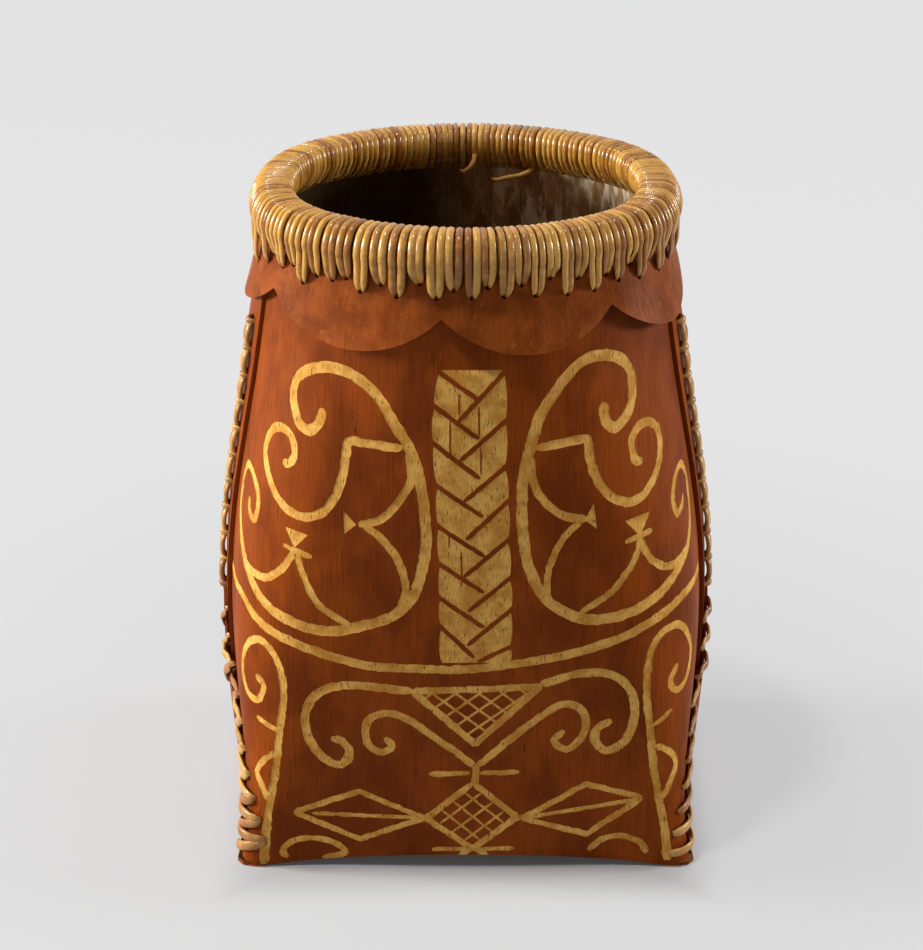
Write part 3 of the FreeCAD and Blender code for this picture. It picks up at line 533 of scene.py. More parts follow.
@dataclass(frozen=True)
class BarkFinish:
    """Birch bark, split from the tree and handled for years: satin, with fibres and flecks along the grain.

    Sizes are millimetres on the unrolled sheet: the first along the front, the second up the wall. Single
    bark fibres are too fine to show, so fibre draws them coarser. A rise is the two levels of a pattern
    between which its colour comes in, and a share is the most of it there.
    """

    name: str
    light: str
    dark: str
    streak: str
    fleck: str
    worn: str
    fibre: Flat = (0.9, 26.0)
    spot: Flat = (1.5, 7.0)
    patch: Flat = (34.0, 60.0)
    curl: Flat = (5.0, 22.0)
    dark_rise: Flat = (0.36, 0.66)
    streak_rise: Flat = (0.46, 0.72)
    curl_rise: Flat = (0.47, 0.62)
    streak_share: float = 0.55
    fleck_level: float = 0.69
    fleck_share: float = 0.9
    worn_level: float = 0.66
    worn_share: float = 0.55
    roughness: float = 0.5
    gloss: float = 0.05
    ior: float = 1.5
    flake: str = ""
    flake_share: float = 0.9
    # colour and most share of the painted shade on the left of the inside
    left_shade: str = ""
    left_shade_share: float = 0.92
    roughness_spread: float = 0.2
    relief: float = 0.12
    pit_share: float = 0.6

    def build(self) -> Material:
        """Makes the material.

        Returns:
            The material, whose patterns follow the unrolled sheet.
        """
        material, tree = new_material(self.name)
        flat = add_node(tree, "ShaderNodeAttribute", attribute_name="flat").outputs["Vector"]

        def grain(size: Flat, detail: float, shift: float, distortion: float = 0.0) -> Socket:
            """A noise whose grains have a size in millimetres."""
            place = add_node(
                tree, "ShaderNodeMapping",
                {"Vector": flat, "Location": (shift, shift, 0), "Scale": (1 / size[0], 1 / size[1], 0.4)},
            ).outputs["Vector"]
            return add_node(
                tree, "ShaderNodeTexNoise",
                {"Vector": place, "Scale": 1.0, "Detail": detail, "Roughness": 0.6, "Distortion": distortion},
            ).outputs["Fac"]

        fibres = grain(self.fibre, 4.0, 7.3)
        flecks = grain(self.spot, 2.0, 19.1)
        scuffs = grain((self.patch[0] / 5, self.patch[1] / 4), 5.0, 31.7, 0.6)
        base = colour(self.light)
        for pattern, (low, high), most, tone in (
            (grain(self.patch, 3.0, 0.0, 0.4), self.dark_rise, 1.0, self.dark),
            (fibres, self.streak_rise, self.streak_share, self.streak),
            (scuffs, (self.worn_level, self.worn_level + 0.1), self.worn_share, self.worn),
            (flecks, (self.fleck_level, self.fleck_level + 0.06), self.fleck_share, self.fleck),
        ):
            share = add_node(
                tree, "ShaderNodeMapRange",
                {"Value": pattern, "From Min": low, "From Max": high, "To Max": most},
                interpolation_type="SMOOTHSTEP",
            ).outputs["Result"]
            base = add_node(
                tree, "ShaderNodeMix", {0: share, 6: base, 7: colour(tone)}, data_type="RGBA"
            ).outputs[2]
        if self.flake:
            base = self.shaded_and_flaked(tree, base, grain(self.curl, 5.0, 43.0, 0.3))
        rough = add_node(
            tree, "ShaderNodeMapRange",
            {"Value": fibres, "From Min": 0.3, "From Max": 0.7,
             "To Min": self.roughness - self.roughness_spread / 2,
             "To Max": self.roughness + self.roughness_spread / 2},
        ).outputs["Result"]
        pits = add_node(
            tree, "ShaderNodeMapRange",
            {"Value": flecks, "From Min": self.fleck_level, "From Max": self.fleck_level + 0.1,
             "To Max": self.pit_share},
            interpolation_type="SMOOTHSTEP",
        ).outputs["Result"]
        height = add_node(tree, "ShaderNodeMath", {0: fibres, 1: pits}, operation="SUBTRACT").outputs["Value"]
        bump = add_node(
            tree, "ShaderNodeBump", {"Height": height, "Distance": self.relief * MM * 2, "Strength": 0.7}
        ).outputs["Normal"]
        shader = add_node(
            tree, "ShaderNodeBsdfPrincipled",
            {"Base Color": base, "Roughness": rough, "Normal": bump, "IOR": self.ior,
             "Specular IOR Level": self.gloss},
        ).outputs["BSDF"]
        add_node(tree, "ShaderNodeOutputMaterial", {"Surface": shader})
        return material

    def shaded_and_flaked(self, tree: Tree, base: Socket, curls: Socket) -> Socket:
        """Darkens the bark on the left with painted shade, and lets pale flakes curl off it high up on the
        right.

        Args:
            tree: The material's tree.
            base: The colour below the painted shade and the flakes.
            curls: The pattern that the flakes follow.

        Returns:
            The colour with both.
        """
        place = add_node(tree, "ShaderNodeTexCoord").outputs["Object"]
        across, _, up = add_node(tree, "ShaderNodeSeparateXYZ", {"Vector": place}).outputs
        right, high, curled, unshaded = (
            add_node(
                tree, "ShaderNodeMapRange",
                {"Value": value, "From Min": start, "From Max": full, "To Max": most},
                interpolation_type="SMOOTHSTEP",
            ).outputs["Result"]
            for value, (start, full), most in (
                (across, (0.0, 0.03), 1.0),
                (up, (0.21, 0.265), 1.0),
                (curls, self.curl_rise, self.flake_share),
                (across, (-0.03, 0.03), self.left_shade_share),
            )
        )
        flakes = right
        for amount in (high, curled):
            flakes = add_node(
                tree, "ShaderNodeMath", {0: flakes, 1: amount}, operation="MULTIPLY"
            ).outputs["Value"]
        # painted shade: the inside is darker on its left, where little light reaches
        shaded_left = add_node(
            tree, "ShaderNodeMath", {0: self.left_shade_share, 1: unshaded}, operation="SUBTRACT"
        ).outputs["Value"]
        for share, tone in ((shaded_left, self.left_shade), (flakes, self.flake)):
            base = add_node(
                tree, "ShaderNodeMix", {0: share, 6: base, 7: colour(tone)}, data_type="RGBA"
            ).outputs[2]
        return base


@dataclass(frozen=True)
class RootFinish:
    """Split spruce root, scraped and worn shiny: honey brown, with fibres along each strand.

    The strand attribute holds each strand's tone and the way along it. Sizes are millimetres. Single root
    fibres are too fine to show, so fibre_width draws them coarser.
    """

    name: str
    gold: str
    brown: str
    fibre: str
    shine: float = 0.32
    ior: float = 1.5
    gloss: float = 0.36
    tone_spread: float = 37.0
    blotch_length: float = 5.0
    fibre_width: float = 1.1
    relief: float = 0.15
    polish: float = 0.12

    def build(self) -> Material:
        """Makes the material.

        Returns:
            The material, whose patterns follow the strands.
        """
        material, tree = new_material(self.name)
        strand = add_node(tree, "ShaderNodeAttribute", attribute_name="strand").outputs["Vector"]
        tone = add_node(tree, "ShaderNodeSeparateXYZ", {"Vector": strand}).outputs["X"]
        scale = (self.tone_spread, 1 / self.blotch_length, 1.0)
        along = add_node(tree, "ShaderNodeMapping", {"Vector": strand, "Scale": scale}).outputs["Vector"]
        place = add_node(tree, "ShaderNodeTexCoord").outputs["Object"]
        blotch, grain = (
            add_node(tree, "ShaderNodeTexNoise", {"Vector": at, "Scale": scale, "Detail": 3.0}).outputs["Fac"]
            for at, scale in ((along, 1.0), (place, 1 / (self.fibre_width * MM)))
        )
        share = add_node(tree, "ShaderNodeMath", {0: tone, 1: blotch}, operation="ADD").outputs["Value"]
        share = add_node(
            tree, "ShaderNodeMapRange", {"Value": share, "From Min": 0.55, "From Max": 1.45},
            interpolation_type="SMOOTHSTEP",
        ).outputs["Result"]
        lines = add_node(
            tree, "ShaderNodeMapRange",
            {"Value": grain, "From Min": 0.5, "From Max": 0.75, "To Max": 0.5},
        ).outputs["Result"]
        base = colour(self.gold)
        for amount, code in ((share, self.brown), (lines, self.fibre)):
            base = add_node(
                tree, "ShaderNodeMix", {0: amount, 6: base, 7: colour(code)}, data_type="RGBA"
            ).outputs[2]
        bump = add_node(
            tree, "ShaderNodeBump", {"Height": grain, "Distance": self.relief * MM, "Strength": 0.5}
        ).outputs["Normal"]
        shader = add_node(
            tree, "ShaderNodeBsdfPrincipled",
            {"Base Color": base, "Roughness": self.shine, "Normal": bump, "IOR": self.ior,
             "Specular IOR Level": self.gloss, "Coat Weight": self.polish, "Coat Roughness": 0.14},
        ).outputs["BSDF"]
        add_node(tree, "ShaderNodeOutputMaterial", {"Surface": shader})
        return material


@dataclass(frozen=True)
class Finishes:
    """Every finish of the container."""

    # bark taken in winter, its dark inner rind kept on: a deep red brown with fine upright streaks
    winter: BarkFinish = BarkFinish(
        "winter_bark", light="#8f420f", dark="#703009", streak="#592405", fleck="#2a1104", worn="#a05519",
        spot=(0.9, 9.0), fleck_level=0.67,
    )
    # the ground that scraping lays bare: straw yellow, matt and a little torn
    scraped: BarkFinish = BarkFinish(
        "scraped_bark", light="#e6b25c", dark="#c68a3a", streak="#a66a2c", fleck="#5f3c1a", worn="#eec684",
        fibre=(0.8, 5.0), spot=(0.9, 4.0), patch=(12.0, 12.0), streak_share=0.6, fleck_level=0.62,
        roughness=0.62, relief=0.2,
    )
    # a second piece of winter bark, more worn by hands: paler brown, with short coarse fibres
    collar: BarkFinish = BarkFinish(
        "collar_bark", light="#8f4718", dark="#76360f", streak="#632d0b", fleck="#361707", worn="#a05f2b",
        fibre=(1.6, 9.0), patch=(12.0, 16.0), streak_share=0.4, worn_level=0.6, roughness=0.5,
    )
    # the tree's outer bark, turned inwards: tan and matt, with painted shade on its left side, and pale
    # curled flakes
    lining: BarkFinish = BarkFinish(
        "inner_bark", light="#c49c6c", dark="#8a633e", streak="#5f3f20", fleck="#2c1a0e", worn="#dabd94",
        patch=(16.0, 30.0), worn_level=0.55, roughness=0.7, flake="#f2e4c8", left_shade="#21140a",
    )
    # root polished by handling at the rim: golden brown, with a clear sheen along each turn
    rim: RootFinish = RootFinish("rim_root", gold="#cb9743", brown="#8c5218", fibre="#6a3e17", shine=0.24)
    # the same root where hands reach it less: duller and a little greyer
    seam: RootFinish = RootFinish("seam_root", gold="#c7984f", brown="#99622c", fibre="#6e3f18")
    # split ash, bent green: mid brown, its grain running round the hoop
    hoop: BarkFinish = BarkFinish(
        "ash_hoop", light="#8c6236", dark="#6d4622", streak="#573417", fleck="#3a200d", worn="#9a7446",
        fibre=(26.0, 0.9), roughness=0.5,
    )


def keep(piece: Piece, slot: Slot, *nodes: str) -> None:
    """Rides a piece on the body, in place of CAD nodes, and reports it.

    Args:
        piece: The piece.
        slot: The material slot that it stands for; not used.
        *nodes: The CAD nodes that it stands for.
    """
    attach(piece, "root")
    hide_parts(*nodes)
    LOG.info("%s: %d faces, for %s", piece.name, len(piece.data.polygons), ", ".join(nodes))


# ---- sheets of bark ----
@dataclass(frozen=True)
class Ribbon:
    """A stroke of even width on the flat sheet: its two edges, and the four-cornered steps between them."""

    left: Grid
    right: Grid

    @classmethod
    def along(cls, points: Grid, width: float, rng: np.random.Generator, roughness: float = 0.18) -> "Ribbon":
        """Widens a line to a stroke with rounded ends and a slightly uneven edge.

        Args:
            points: The line's points.
            width: The stroke's width.
            rng: Where the unevenness comes from.
            roughness: How uneven a broad stroke's edge is.

        Returns:
            The stroke.
        """
        end_swell, end_square, broad = 2.2, 0.25, 3.0
        ahead = np.gradient(points, axis=0)
        ahead /= np.maximum(np.linalg.norm(ahead, axis=1), 1e-9)[:, None]
        aside = np.stack((-ahead[:, 1], ahead[:, 0]), 1)
        walked = way_along(points)
        from_end = np.minimum(walked, walked[-1] - walked)
        half = width / 2 * np.sqrt(np.clip(from_end / width * end_swell + end_square, 0, 1))
        uneven = rng.normal(0, roughness, (2, len(points))) * min(1.0, width / broad)
        return cls(points + aside * (half + uneven[0])[:, None], points - aside * (half + uneven[1])[:, None])

    def outline(self) -> Grid:
        """The stroke's closed edge."""
        return np.vstack((self.left, self.right[::-1]))

    def covers(self, points: Grid) -> Grid:
        """Tells which points lie under the stroke.

        Args:
            points: The points to test.

        Returns:
            One truth value for each point.
        """
        margin = 0.1
        found = np.zeros(len(points), bool)
        outline = self.outline()
        near = np.all((points > outline.min(0) - margin) & (points < outline.max(0) + margin), axis=1)
        spots = points[near]
        hit = np.zeros(len(spots), bool)
        for a, b, c, d in zip(self.left, self.left[1:], self.right[1:], self.right):
            hit |= inside(spots, np.array((a, b, c, d)))
        found[near] = hit
        return found


class Face(IntEnum):
    """A sheet's kinds of face, numbered as its materials are."""

    OUTER = 0
    BARE = 1
    LINING = 2


@dataclass
class BarkSheet:
    """One layer of bark: cut out flat by its border, scraped and pierced, then laid on the wall.

    lay takes flat places and depths below the outer face, and returns places in space. The flat attribute
    that the finishes read also holds the depth, stretched so that a cut edge shows layers.
    """

    name: str
    border: Grid
    lay: Callable[[Grid, Grid], Grid]
    thickness: float = 2.0
    spacing: float = 5.0
    scrape_depth: float = 0.25
    mirrored: bool = False
    scraped: list[Ribbon] = field(default_factory=list)
    cut_shapes: list[Grid] = field(default_factory=list)
    spared: list[Ribbon] = field(default_factory=list)
    holes: list[Hole] = field(default_factory=list)
    hole_sides: int = 8
    hole_rim: float = 0.97
    clearance: float = 0.3
    merge_within: float = 1e-4
    sharp_degrees: float = 40.0
    depth_stretch: float = 20.0

    def mesh_flat(self) -> tuple[Grid, Grid]:
        """Cuts the flat sheet in triangles that follow every edge.

        Returns:
            The flat points, and each triangle's point numbers.
        """
        loops = [self.border, *(r.outline() for r in self.scraped + self.spared), *self.cut_shapes]
        turn = np.linspace(0, 2 * math.pi, self.hole_sides + 1)[:-1]
        circle = np.stack((np.cos(turn), np.sin(turn)), 1)
        loops += [np.array((x, y)) + circle * radius for x, y, radius in self.holes]
        marks = np.vstack(loops)
        near = kdtree.KDTree(len(marks))
        for index, mark in enumerate(marks):
            near.insert((*mark, 0.0), index)
        near.balance()
        low, high = self.border.min(0), self.border.max(0)
        across = np.arange(low[0] + self.spacing / 3, high[0], self.spacing)
        up = np.arange(low[1] + self.spacing / 3, high[1], self.spacing)
        filling = np.stack(np.meshgrid(across, up), -1).reshape(-1, 2)
        filling = filling[inside(filling, self.border)]
        filling = [p for p in filling if near.find((*p, 0.0))[2] > self.spacing * self.clearance]
        edges = []
        start = 0
        for loop in loops:
            count = len(loop)
            edges += [(start + i, start + (i + 1) % count) for i in range(count)]
            start += count
        places = [Vector(p) for p in (*marks, *filling)]
        flat, _, faces, *_ = delaunay_2d_cdt(places, edges, [], 0, self.merge_within)
        flat = np.array([tuple(p) for p in flat])
        faces = np.array([f for f in faces if len(f) == 3])
        middles = flat[faces].mean(1)
        kept = inside(middles, self.border)
        for x, y, radius in self.holes:
            kept &= np.hypot(middles[:, 0] - x, middles[:, 1] - y) > radius * self.hole_rim
        return flat, faces[kept]

    def laid_bare(self, spots: Grid) -> Grid:
        """Tells which spots on the flat sheet are scraped.

        Args:
            spots: The spots to test.

        Returns:
            One truth value for each spot.
        """
        found = np.zeros(len(spots), bool)
        for ribbon in self.scraped:
            found |= ribbon.covers(spots)
        for shape in self.cut_shapes:
            found |= inside(spots, shape)
        for ribbon in self.spared:
            found &= ~ribbon.covers(spots)
        return found

    def upright_faces(self, faces: Grid, bare: Grid, count: int) -> tuple[list, list[Face]]:
        """Closes the sheet along its cut edges, and along the sides of every scrape.

        Args:
            faces: The flat sheet's triangles.
            bare: Which of them are scraped.
            count: How many flat points there are at each of the three depths.

        Returns:
            The faces' point numbers, and their kinds.
        """
        sides = [((a, b), (b, c), (c, a)) for a, b, c in faces.tolist()]
        owners: dict[tuple[int, int], list[int]] = {}
        for index, three in enumerate(sides):
            for side in three:
                owners.setdefault((min(side), max(side)), []).append(index)
        uprights, kinds = [], []
        for index, three in enumerate(sides):
            for p, q in three:
                sharing = owners[min(p, q), max(p, q)]
                shift = count * int(bare[index])
                if len(sharing) == 1:
                    uprights.append((q + shift, p + shift, p + 2 * count, q + 2 * count))
                    # cut edges and hole walls take the dark outer finish, not the pale inner bark, so that
                    # they read as the shadowed gap along each free edge: painted shade
                    kinds.append(Face.OUTER)
                elif not bare[index] and bare[sharing[0] + sharing[1] - index]:
                    uprights.append((q, p, p + count, q + count))
                    kinds.append(Face.BARE)
        return uprights, kinds

    def build(self, materials: list[Material]) -> Piece:
        """Makes the sheet's closed mesh: outer face, scraped ground, inner face and cut edges.

        Args:
            materials: The materials of the outer face, the scraped ground and the inner face.

        Returns:
            The sheet, laid on the wall.
        """
        flat, faces = self.mesh_flat()
        bare = self.laid_bare(flat[faces].mean(1))
        count = len(flat)
        depths = np.concatenate([np.full(count, d) for d in (0.0, self.scrape_depth, self.thickness)])
        spread = np.vstack((flat, flat, flat))
        points = self.lay(spread, depths)
        top = faces + bare[:, None] * count
        under = faces[:, ::-1] + 2 * count
        uprights, kinds = self.upright_faces(faces, bare, count)
        polygons = [*top.tolist(), *under.tolist(), *uprights]
        if self.mirrored:
            polygons = [face[::-1] for face in polygons]
        indices = [*bare.astype(int).tolist(), *[Face.LINING] * len(under), *kinds]
        used = np.unique(np.concatenate([np.array(f) for f in polygons]))
        renumber = np.zeros(3 * count, int)
        renumber[used] = np.arange(len(used))
        polygons = [[int(renumber[i]) for i in face] for face in polygons]
        piece = make_object(self.name, points[used], polygons, materials, indices)
        store(piece, "flat", np.column_stack((spread[used], depths[used] * self.depth_stretch)))
        piece.data.set_sharp_from_angle(angle=math.radians(self.sharp_degrees))
        return piece


# ---- strands of root ----
def strand_tree() -> Tree:
    """Builds a node tree that turns centre lines in flattened strands, with named inputs for its sizes.

    Returns:
        The tree. Its lines carry an outward direction and a half width at each point.
    """
    tree = bpy.data.node_groups.new("strands_along_lines", "GeometryNodeTree")
    ports = (("Lines", "NodeSocketGeometry"), ("Sides", "NodeSocketInt"), ("Flatness", "NodeSocketFloat"),
             ("Finish", "NodeSocketMaterial"))
    for name, kind in ports:
        tree.interface.new_socket(name, in_out="INPUT", socket_type=kind)
    tree.interface.new_socket("Strands", in_out="OUTPUT", socket_type="NodeSocketGeometry")
    entry = add_node(tree, "NodeGroupInput").outputs
    face, girth = (
        add_node(tree, "GeometryNodeInputNamedAttribute", {"Name": name}, data_type=kind).outputs["Attribute"]
        for name, kind in (("face", "FLOAT_VECTOR"), ("girth", "FLOAT"))
    )
    lines = add_node(tree, "GeometryNodeMeshToCurve", {0: entry["Lines"]}).outputs[0]
    lines = add_node(
        tree, "GeometryNodeSetCurveNormal", {"Curve": lines, "Normal": face}, mode="FREE"
    ).outputs[0]
    ring = add_node(
        tree, "GeometryNodeCurvePrimitiveCircle", {"Resolution": entry["Sides"], "Radius": 1.0}
    ).outputs["Curve"]
    size = add_node(
        tree, "ShaderNodeCombineXYZ", {"X": entry["Flatness"], "Y": 1.0, "Z": 1.0}
    ).outputs["Vector"]
    ring = add_node(tree, "GeometryNodeTransform", {"Geometry": ring, "Scale": size}).outputs[0]
    tube = add_node(
        tree, "GeometryNodeCurveToMesh",
        {"Curve": lines, "Profile Curve": ring, "Scale": girth, "Fill Caps": True},
    ).outputs[0]
    for kind, more in (
        ("GeometryNodeSetShadeSmooth", {}),
        ("GeometryNodeRealizeInstances", {}),
        ("GeometryNodeSetMaterial", {"Material": entry["Finish"]}),
    ):
        tube = add_node(tree, kind, {"Geometry": tube, **more}).outputs[0]
    add_node(tree, "NodeGroupOutput", {"Strands": tube})
    return tree


@dataclass(frozen=True)
class StrandTool:
    """The strands' tree with what it takes: its root's finish, and how many sides and how flat."""

    tree: Tree
    finish: Material
    sides: int = 8
    flatness: float = 0.72


@dataclass
class Strands:
    """Centre lines of root that make one piece.

    The strand attribute that the finish reads ends on the tone too, stretched so that no two strands share
    a blotch.
    """

    name: str
    lines: list[Grid] = field(default_factory=list)
    faces: list[Grid] = field(default_factory=list)
    girths: list[Grid] = field(default_factory=list)
    tones: list[float] = field(default_factory=list)
    tone_stretch: float = 90.0

    def add(self, line: Grid, face: Grid, girth: Grid, tone: float) -> None:
        """Adds one strand.

        Args:
            line: The points of its centre line.
            face: The outward direction at each point.
            girth: The half width at each point.
            tone: How brown it is, from 0 to 1.
        """
        self.lines.append(line)
        self.faces.append(face)
        self.girths.append(girth)
        self.tones.append(tone)

    def build(self, tool: StrandTool) -> Piece:
        """Runs a tool's tree on the lines and keeps its result as a plain mesh.

        Args:
            tool: The tool.

        Returns:
            The piece.
        """
        edges, start = [], 0
        for line in self.lines:
            edges += [(start + i, start + i + 1) for i in range(len(line) - 1)]
            start += len(line)
        raw = make_object(f"{self.name}_lines", np.vstack(self.lines), [], [], edges=edges)
        walked = np.concatenate([way_along(line) for line in self.lines])
        tones = np.concatenate([np.full(len(line), tone) for line, tone in zip(self.lines, self.tones)])
        store(raw, "face", np.vstack(self.faces))
        store(raw, "girth", np.concatenate(self.girths) * MM)
        store(raw, "strand", np.column_stack((tones, walked, tones * self.tone_stretch)))
        modifier = raw.modifiers.new("strands", "NODES")
        modifier.node_group = tool.tree
        ports = (item for item in tool.tree.interface.items_tree if item.in_out == "INPUT")
        sockets = {port.name: port.identifier for port in ports}
        modifier[sockets["Sides"]] = tool.sides
        modifier[sockets["Flatness"]] = tool.flatness
        modifier[sockets["Finish"]] = tool.finish
        graph = bpy.context.evaluated_depsgraph_get()
        mesh = bpy.data.meshes.new_from_object(raw.evaluated_get(graph), depsgraph=graph)
        mesh.name = self.name
        piece = bpy.data.objects.new(self.name, mesh)
        bpy.context.scene.collection.objects.link(piece)
        raw.modifiers.remove(modifier)
        bpy.data.objects.remove(raw)
        return piece


# ---- the scraped ornament ----
LINE_STEP = 2.2


@dataclass(frozen=True)
class Stroke:
    """One scraped line, drawn through pixels of the camera's frame. Its width is in millimetres."""

    name: str
    width: float
    points: tuple[Flat, ...]

    def on_wall(self) -> Grid:
        """The line on the flat front, smooth between its points."""
        return smooth_path(EYE.to_wall(np.array(self.points, float)), LINE_STEP)


@dataclass(frozen=True)
class StraightStroke(Stroke):
    """A scraped line with corners at its points."""

    def on_wall(self) -> Grid:
        """The line on the flat front, straight between its points."""
        places = EYE.to_wall(np.array(self.points, float))
        return np.vstack([smooth_path(pair, LINE_STEP) for pair in zip(places, places[1:])])


LEFT_SCROLL = (
    Stroke("outer_curve", 5.3, (
        (321, 408), (320, 420), (310, 430), (300, 424), (295, 410), (293, 390), (298, 376), (314, 368),
        (336, 368), (357, 378), (376, 395), (395, 426), (408, 447), (417, 470), (422, 495), (425, 520),
        (426, 545), (422, 570), (415, 592), (403, 608), (384, 620), (361, 626), (337, 631), (312, 629),
        (290, 621), (272, 610), (259, 595), (250, 576), (244, 554), (241, 528), (241, 500), (244, 478),
    )),
    Stroke("teardrop", 3.9, (
        (243, 480), (249, 463), (255, 476), (259, 495), (258, 510), (254, 519), (250, 510), (250, 496),
    )),
    Stroke("inner_hook", 4.4, (
        (283, 461), (289, 463), (294, 456), (294, 443), (288, 431), (278, 426), (270, 434), (266, 451),
        (269, 473), (277, 495), (289, 510), (306, 517), (323, 512), (336, 495), (343, 473), (346, 453),
        (347, 438),
    )),
    StraightStroke("bar", 4.4, ((346, 440), (402, 449))),
    Stroke("upper_branch", 3.9, ((408, 452), (410, 482), (402, 497), (391, 511), (378, 521), (358, 525))),
    Stroke("lower_branch", 3.9, (
        (364, 526), (378, 536), (391, 550), (400, 565), (405, 582), (405, 596), (399, 610),
    )),
    StraightStroke("arrow_tick", 2.8, ((283, 544), (312, 557))),
    Stroke("left_arc", 3.9, ((294, 550), (287, 562), (276, 573), (264, 577), (253, 571), (245, 560))),
    Stroke("right_arc", 3.5, ((294, 548), (300, 567), (308, 587), (320, 606), (337, 618), (352, 627))),
)
LEFT_POINTS = (
    ((343, 510), (344, 534), (356, 525)),
    ((285, 526), (308, 535), (294, 548)),
)
RIGHT_SCROLL = (
    Stroke("outer_curve", 5.3, (
        (605, 402), (604, 412), (608, 424), (615, 427), (624, 419), (631, 405), (633, 390), (630, 370),
        (621, 359), (603, 355), (585, 360), (567, 376), (553, 395), (544, 408), (536, 427), (531, 445),
        (527, 460), (523, 480), (522, 500), (522, 520), (524, 542), (528, 564), (537, 586), (549, 602),
        (566, 613), (584, 619), (608, 618), (630, 612), (646, 603), (663, 589), (676, 571), (685, 553),
        (689, 535), (690, 512), (688, 489), (686, 474),
    )),
    Stroke("teardrop", 3.9, (
        (687, 476), (681, 463), (676, 473), (673, 489), (673, 502), (677, 513), (682, 504), (683, 493),
    )),
    Stroke("inner_hook", 4.4, (
        (643, 460), (637, 461), (633, 451), (632, 439), (638, 427), (648, 421), (657, 427), (660, 442),
        (659, 460), (654, 477), (644, 494), (630, 502), (615, 499), (602, 487), (593, 469), (589, 451),
        (588, 435),
    )),
    StraightStroke("bar", 4.4, ((589, 437), (536, 448))),
    Stroke("upper_branch", 3.9, ((530, 455), (533, 482), (540, 496), (554, 510), (568, 517), (588, 519))),
    Stroke("lower_branch", 3.2, (
        (582, 521), (568, 533), (558, 547), (552, 561), (548, 576), (547, 590), (549, 602),
    )),
    StraightStroke("arrow_tick", 2.8, ((625, 542), (652, 529))),
    Stroke("left_arc", 3.2, ((640, 536), (637, 553), (627, 572), (613, 590), (596, 603), (580, 613))),
    Stroke("right_arc", 3.9, ((640, 538), (646, 551), (655, 562), (667, 566), (678, 560), (685, 548))),
)
RIGHT_POINTS = (
    ((594, 503), (597, 529), (585, 520)),
    ((625, 521), (650, 511), (640, 536)),
)
LOWER_ARC = (
    Stroke("long_arc", 4.6, (
        (232, 552), (234, 573), (242, 593), (253, 614), (267, 628), (292, 642), (326, 655), (366, 665),
        (403, 668), (459, 670), (486, 668), (532, 662), (579, 652), (620, 638), (648, 623), (668, 609),
        (684, 593), (696, 574), (700, 556),
    )),
)
SIDE_HOOKS = (
    Stroke("left_hook", 3.9, (
        (255, 674), (263, 685), (257, 700), (246, 689), (242, 663), (248, 643), (260, 640), (273, 654),
        (282, 678), (283, 704), (279, 733), (276, 766), (270, 800), (266, 832), (264, 864),
    )),
    StraightStroke("left_hook_tick", 2.6, ((256, 716), (281, 732))),
    Stroke("left_loop", 3.5, ((275, 752), (262, 761), (256, 771), (261, 785), (269, 802))),
    Stroke("right_hook", 3.9, (
        (678, 663), (671, 680), (676, 690), (686, 680), (691, 648), (681, 625), (667, 628), (654, 644),
        (648, 667), (647, 696), (650, 726), (654, 766), (660, 803), (665, 832), (667, 860),
    )),
    StraightStroke("right_hook_tick", 2.6, ((653, 726), (673, 709))),
    Stroke("right_loop", 3.5, ((656, 746), (670, 751), (677, 763), (671, 782), (663, 798))),
    Stroke("left_inner_hook", 4.4, (
        (331, 738), (342, 741), (350, 752), (341, 764), (326, 759), (311, 742), (305, 720), (311, 700),
        (329, 688), (357, 685), (385, 688), (413, 691),
    )),
    Stroke("left_centre_hook", 3.9, (
        (385, 737), (392, 746), (383, 752), (370, 746), (365, 729), (372, 717), (389, 713), (409, 720),
        (431, 735), (455, 752), (476, 767),
    )),
    Stroke("right_inner_hook", 4.4, (
        (612, 721), (598, 728), (595, 741), (606, 751), (624, 742), (634, 720), (634, 700), (623, 681),
        (603, 673), (579, 674), (541, 685),
    )),
    Stroke("right_centre_hook", 3.9, (
        (564, 731), (554, 741), (566, 750), (581, 738), (586, 720), (578, 707), (562, 705), (544, 715),
        (512, 738), (478, 766),
    )),
)
MIDDLE_FIGURES = (
    StraightStroke("triangle", 3.7, ((412, 691), (540, 687), (475, 744), (412, 691))),
    StraightStroke("stem", 3.5, ((476, 764), (475, 786))),
    StraightStroke("left_arm", 3.0, ((429, 774), (470, 773))),
    StraightStroke("right_arm", 3.0, ((480, 773), (519, 772))),
    StraightStroke("diamond", 3.5, ((473, 783), (517, 817), (472, 849), (426, 818), (473, 783))),
    StraightStroke("left_foot", 2.6, ((432, 849), (470, 849))),
    StraightStroke("right_foot", 2.6, ((480, 849), (514, 848))),
    StraightStroke("left_leg", 3.5, ((474, 845), (459, 857))),
    StraightStroke("right_leg", 3.5, ((472, 845), (488, 857))),
    StraightStroke("left_lozenge", 3.2, ((294, 812), (359, 791), (424, 818), (360, 839), (294, 812))),
    StraightStroke("left_lozenge_line", 2.3, ((312, 813), (426, 818))),
    StraightStroke("right_lozenge", 3.2, ((642, 798), (586, 784), (522, 818), (586, 834), (642, 798))),
    StraightStroke("right_lozenge_line", 2.3, ((520, 818), (636, 800))),
    Stroke("left_crescent", 3.2, (
        (288, 857), (283, 851), (292, 841), (313, 838), (333, 842), (346, 852), (322, 857),
    )),
    Stroke("right_crescent", 3.2, ((588, 850), (602, 839), (621, 836), (640, 842), (646, 853))),
)


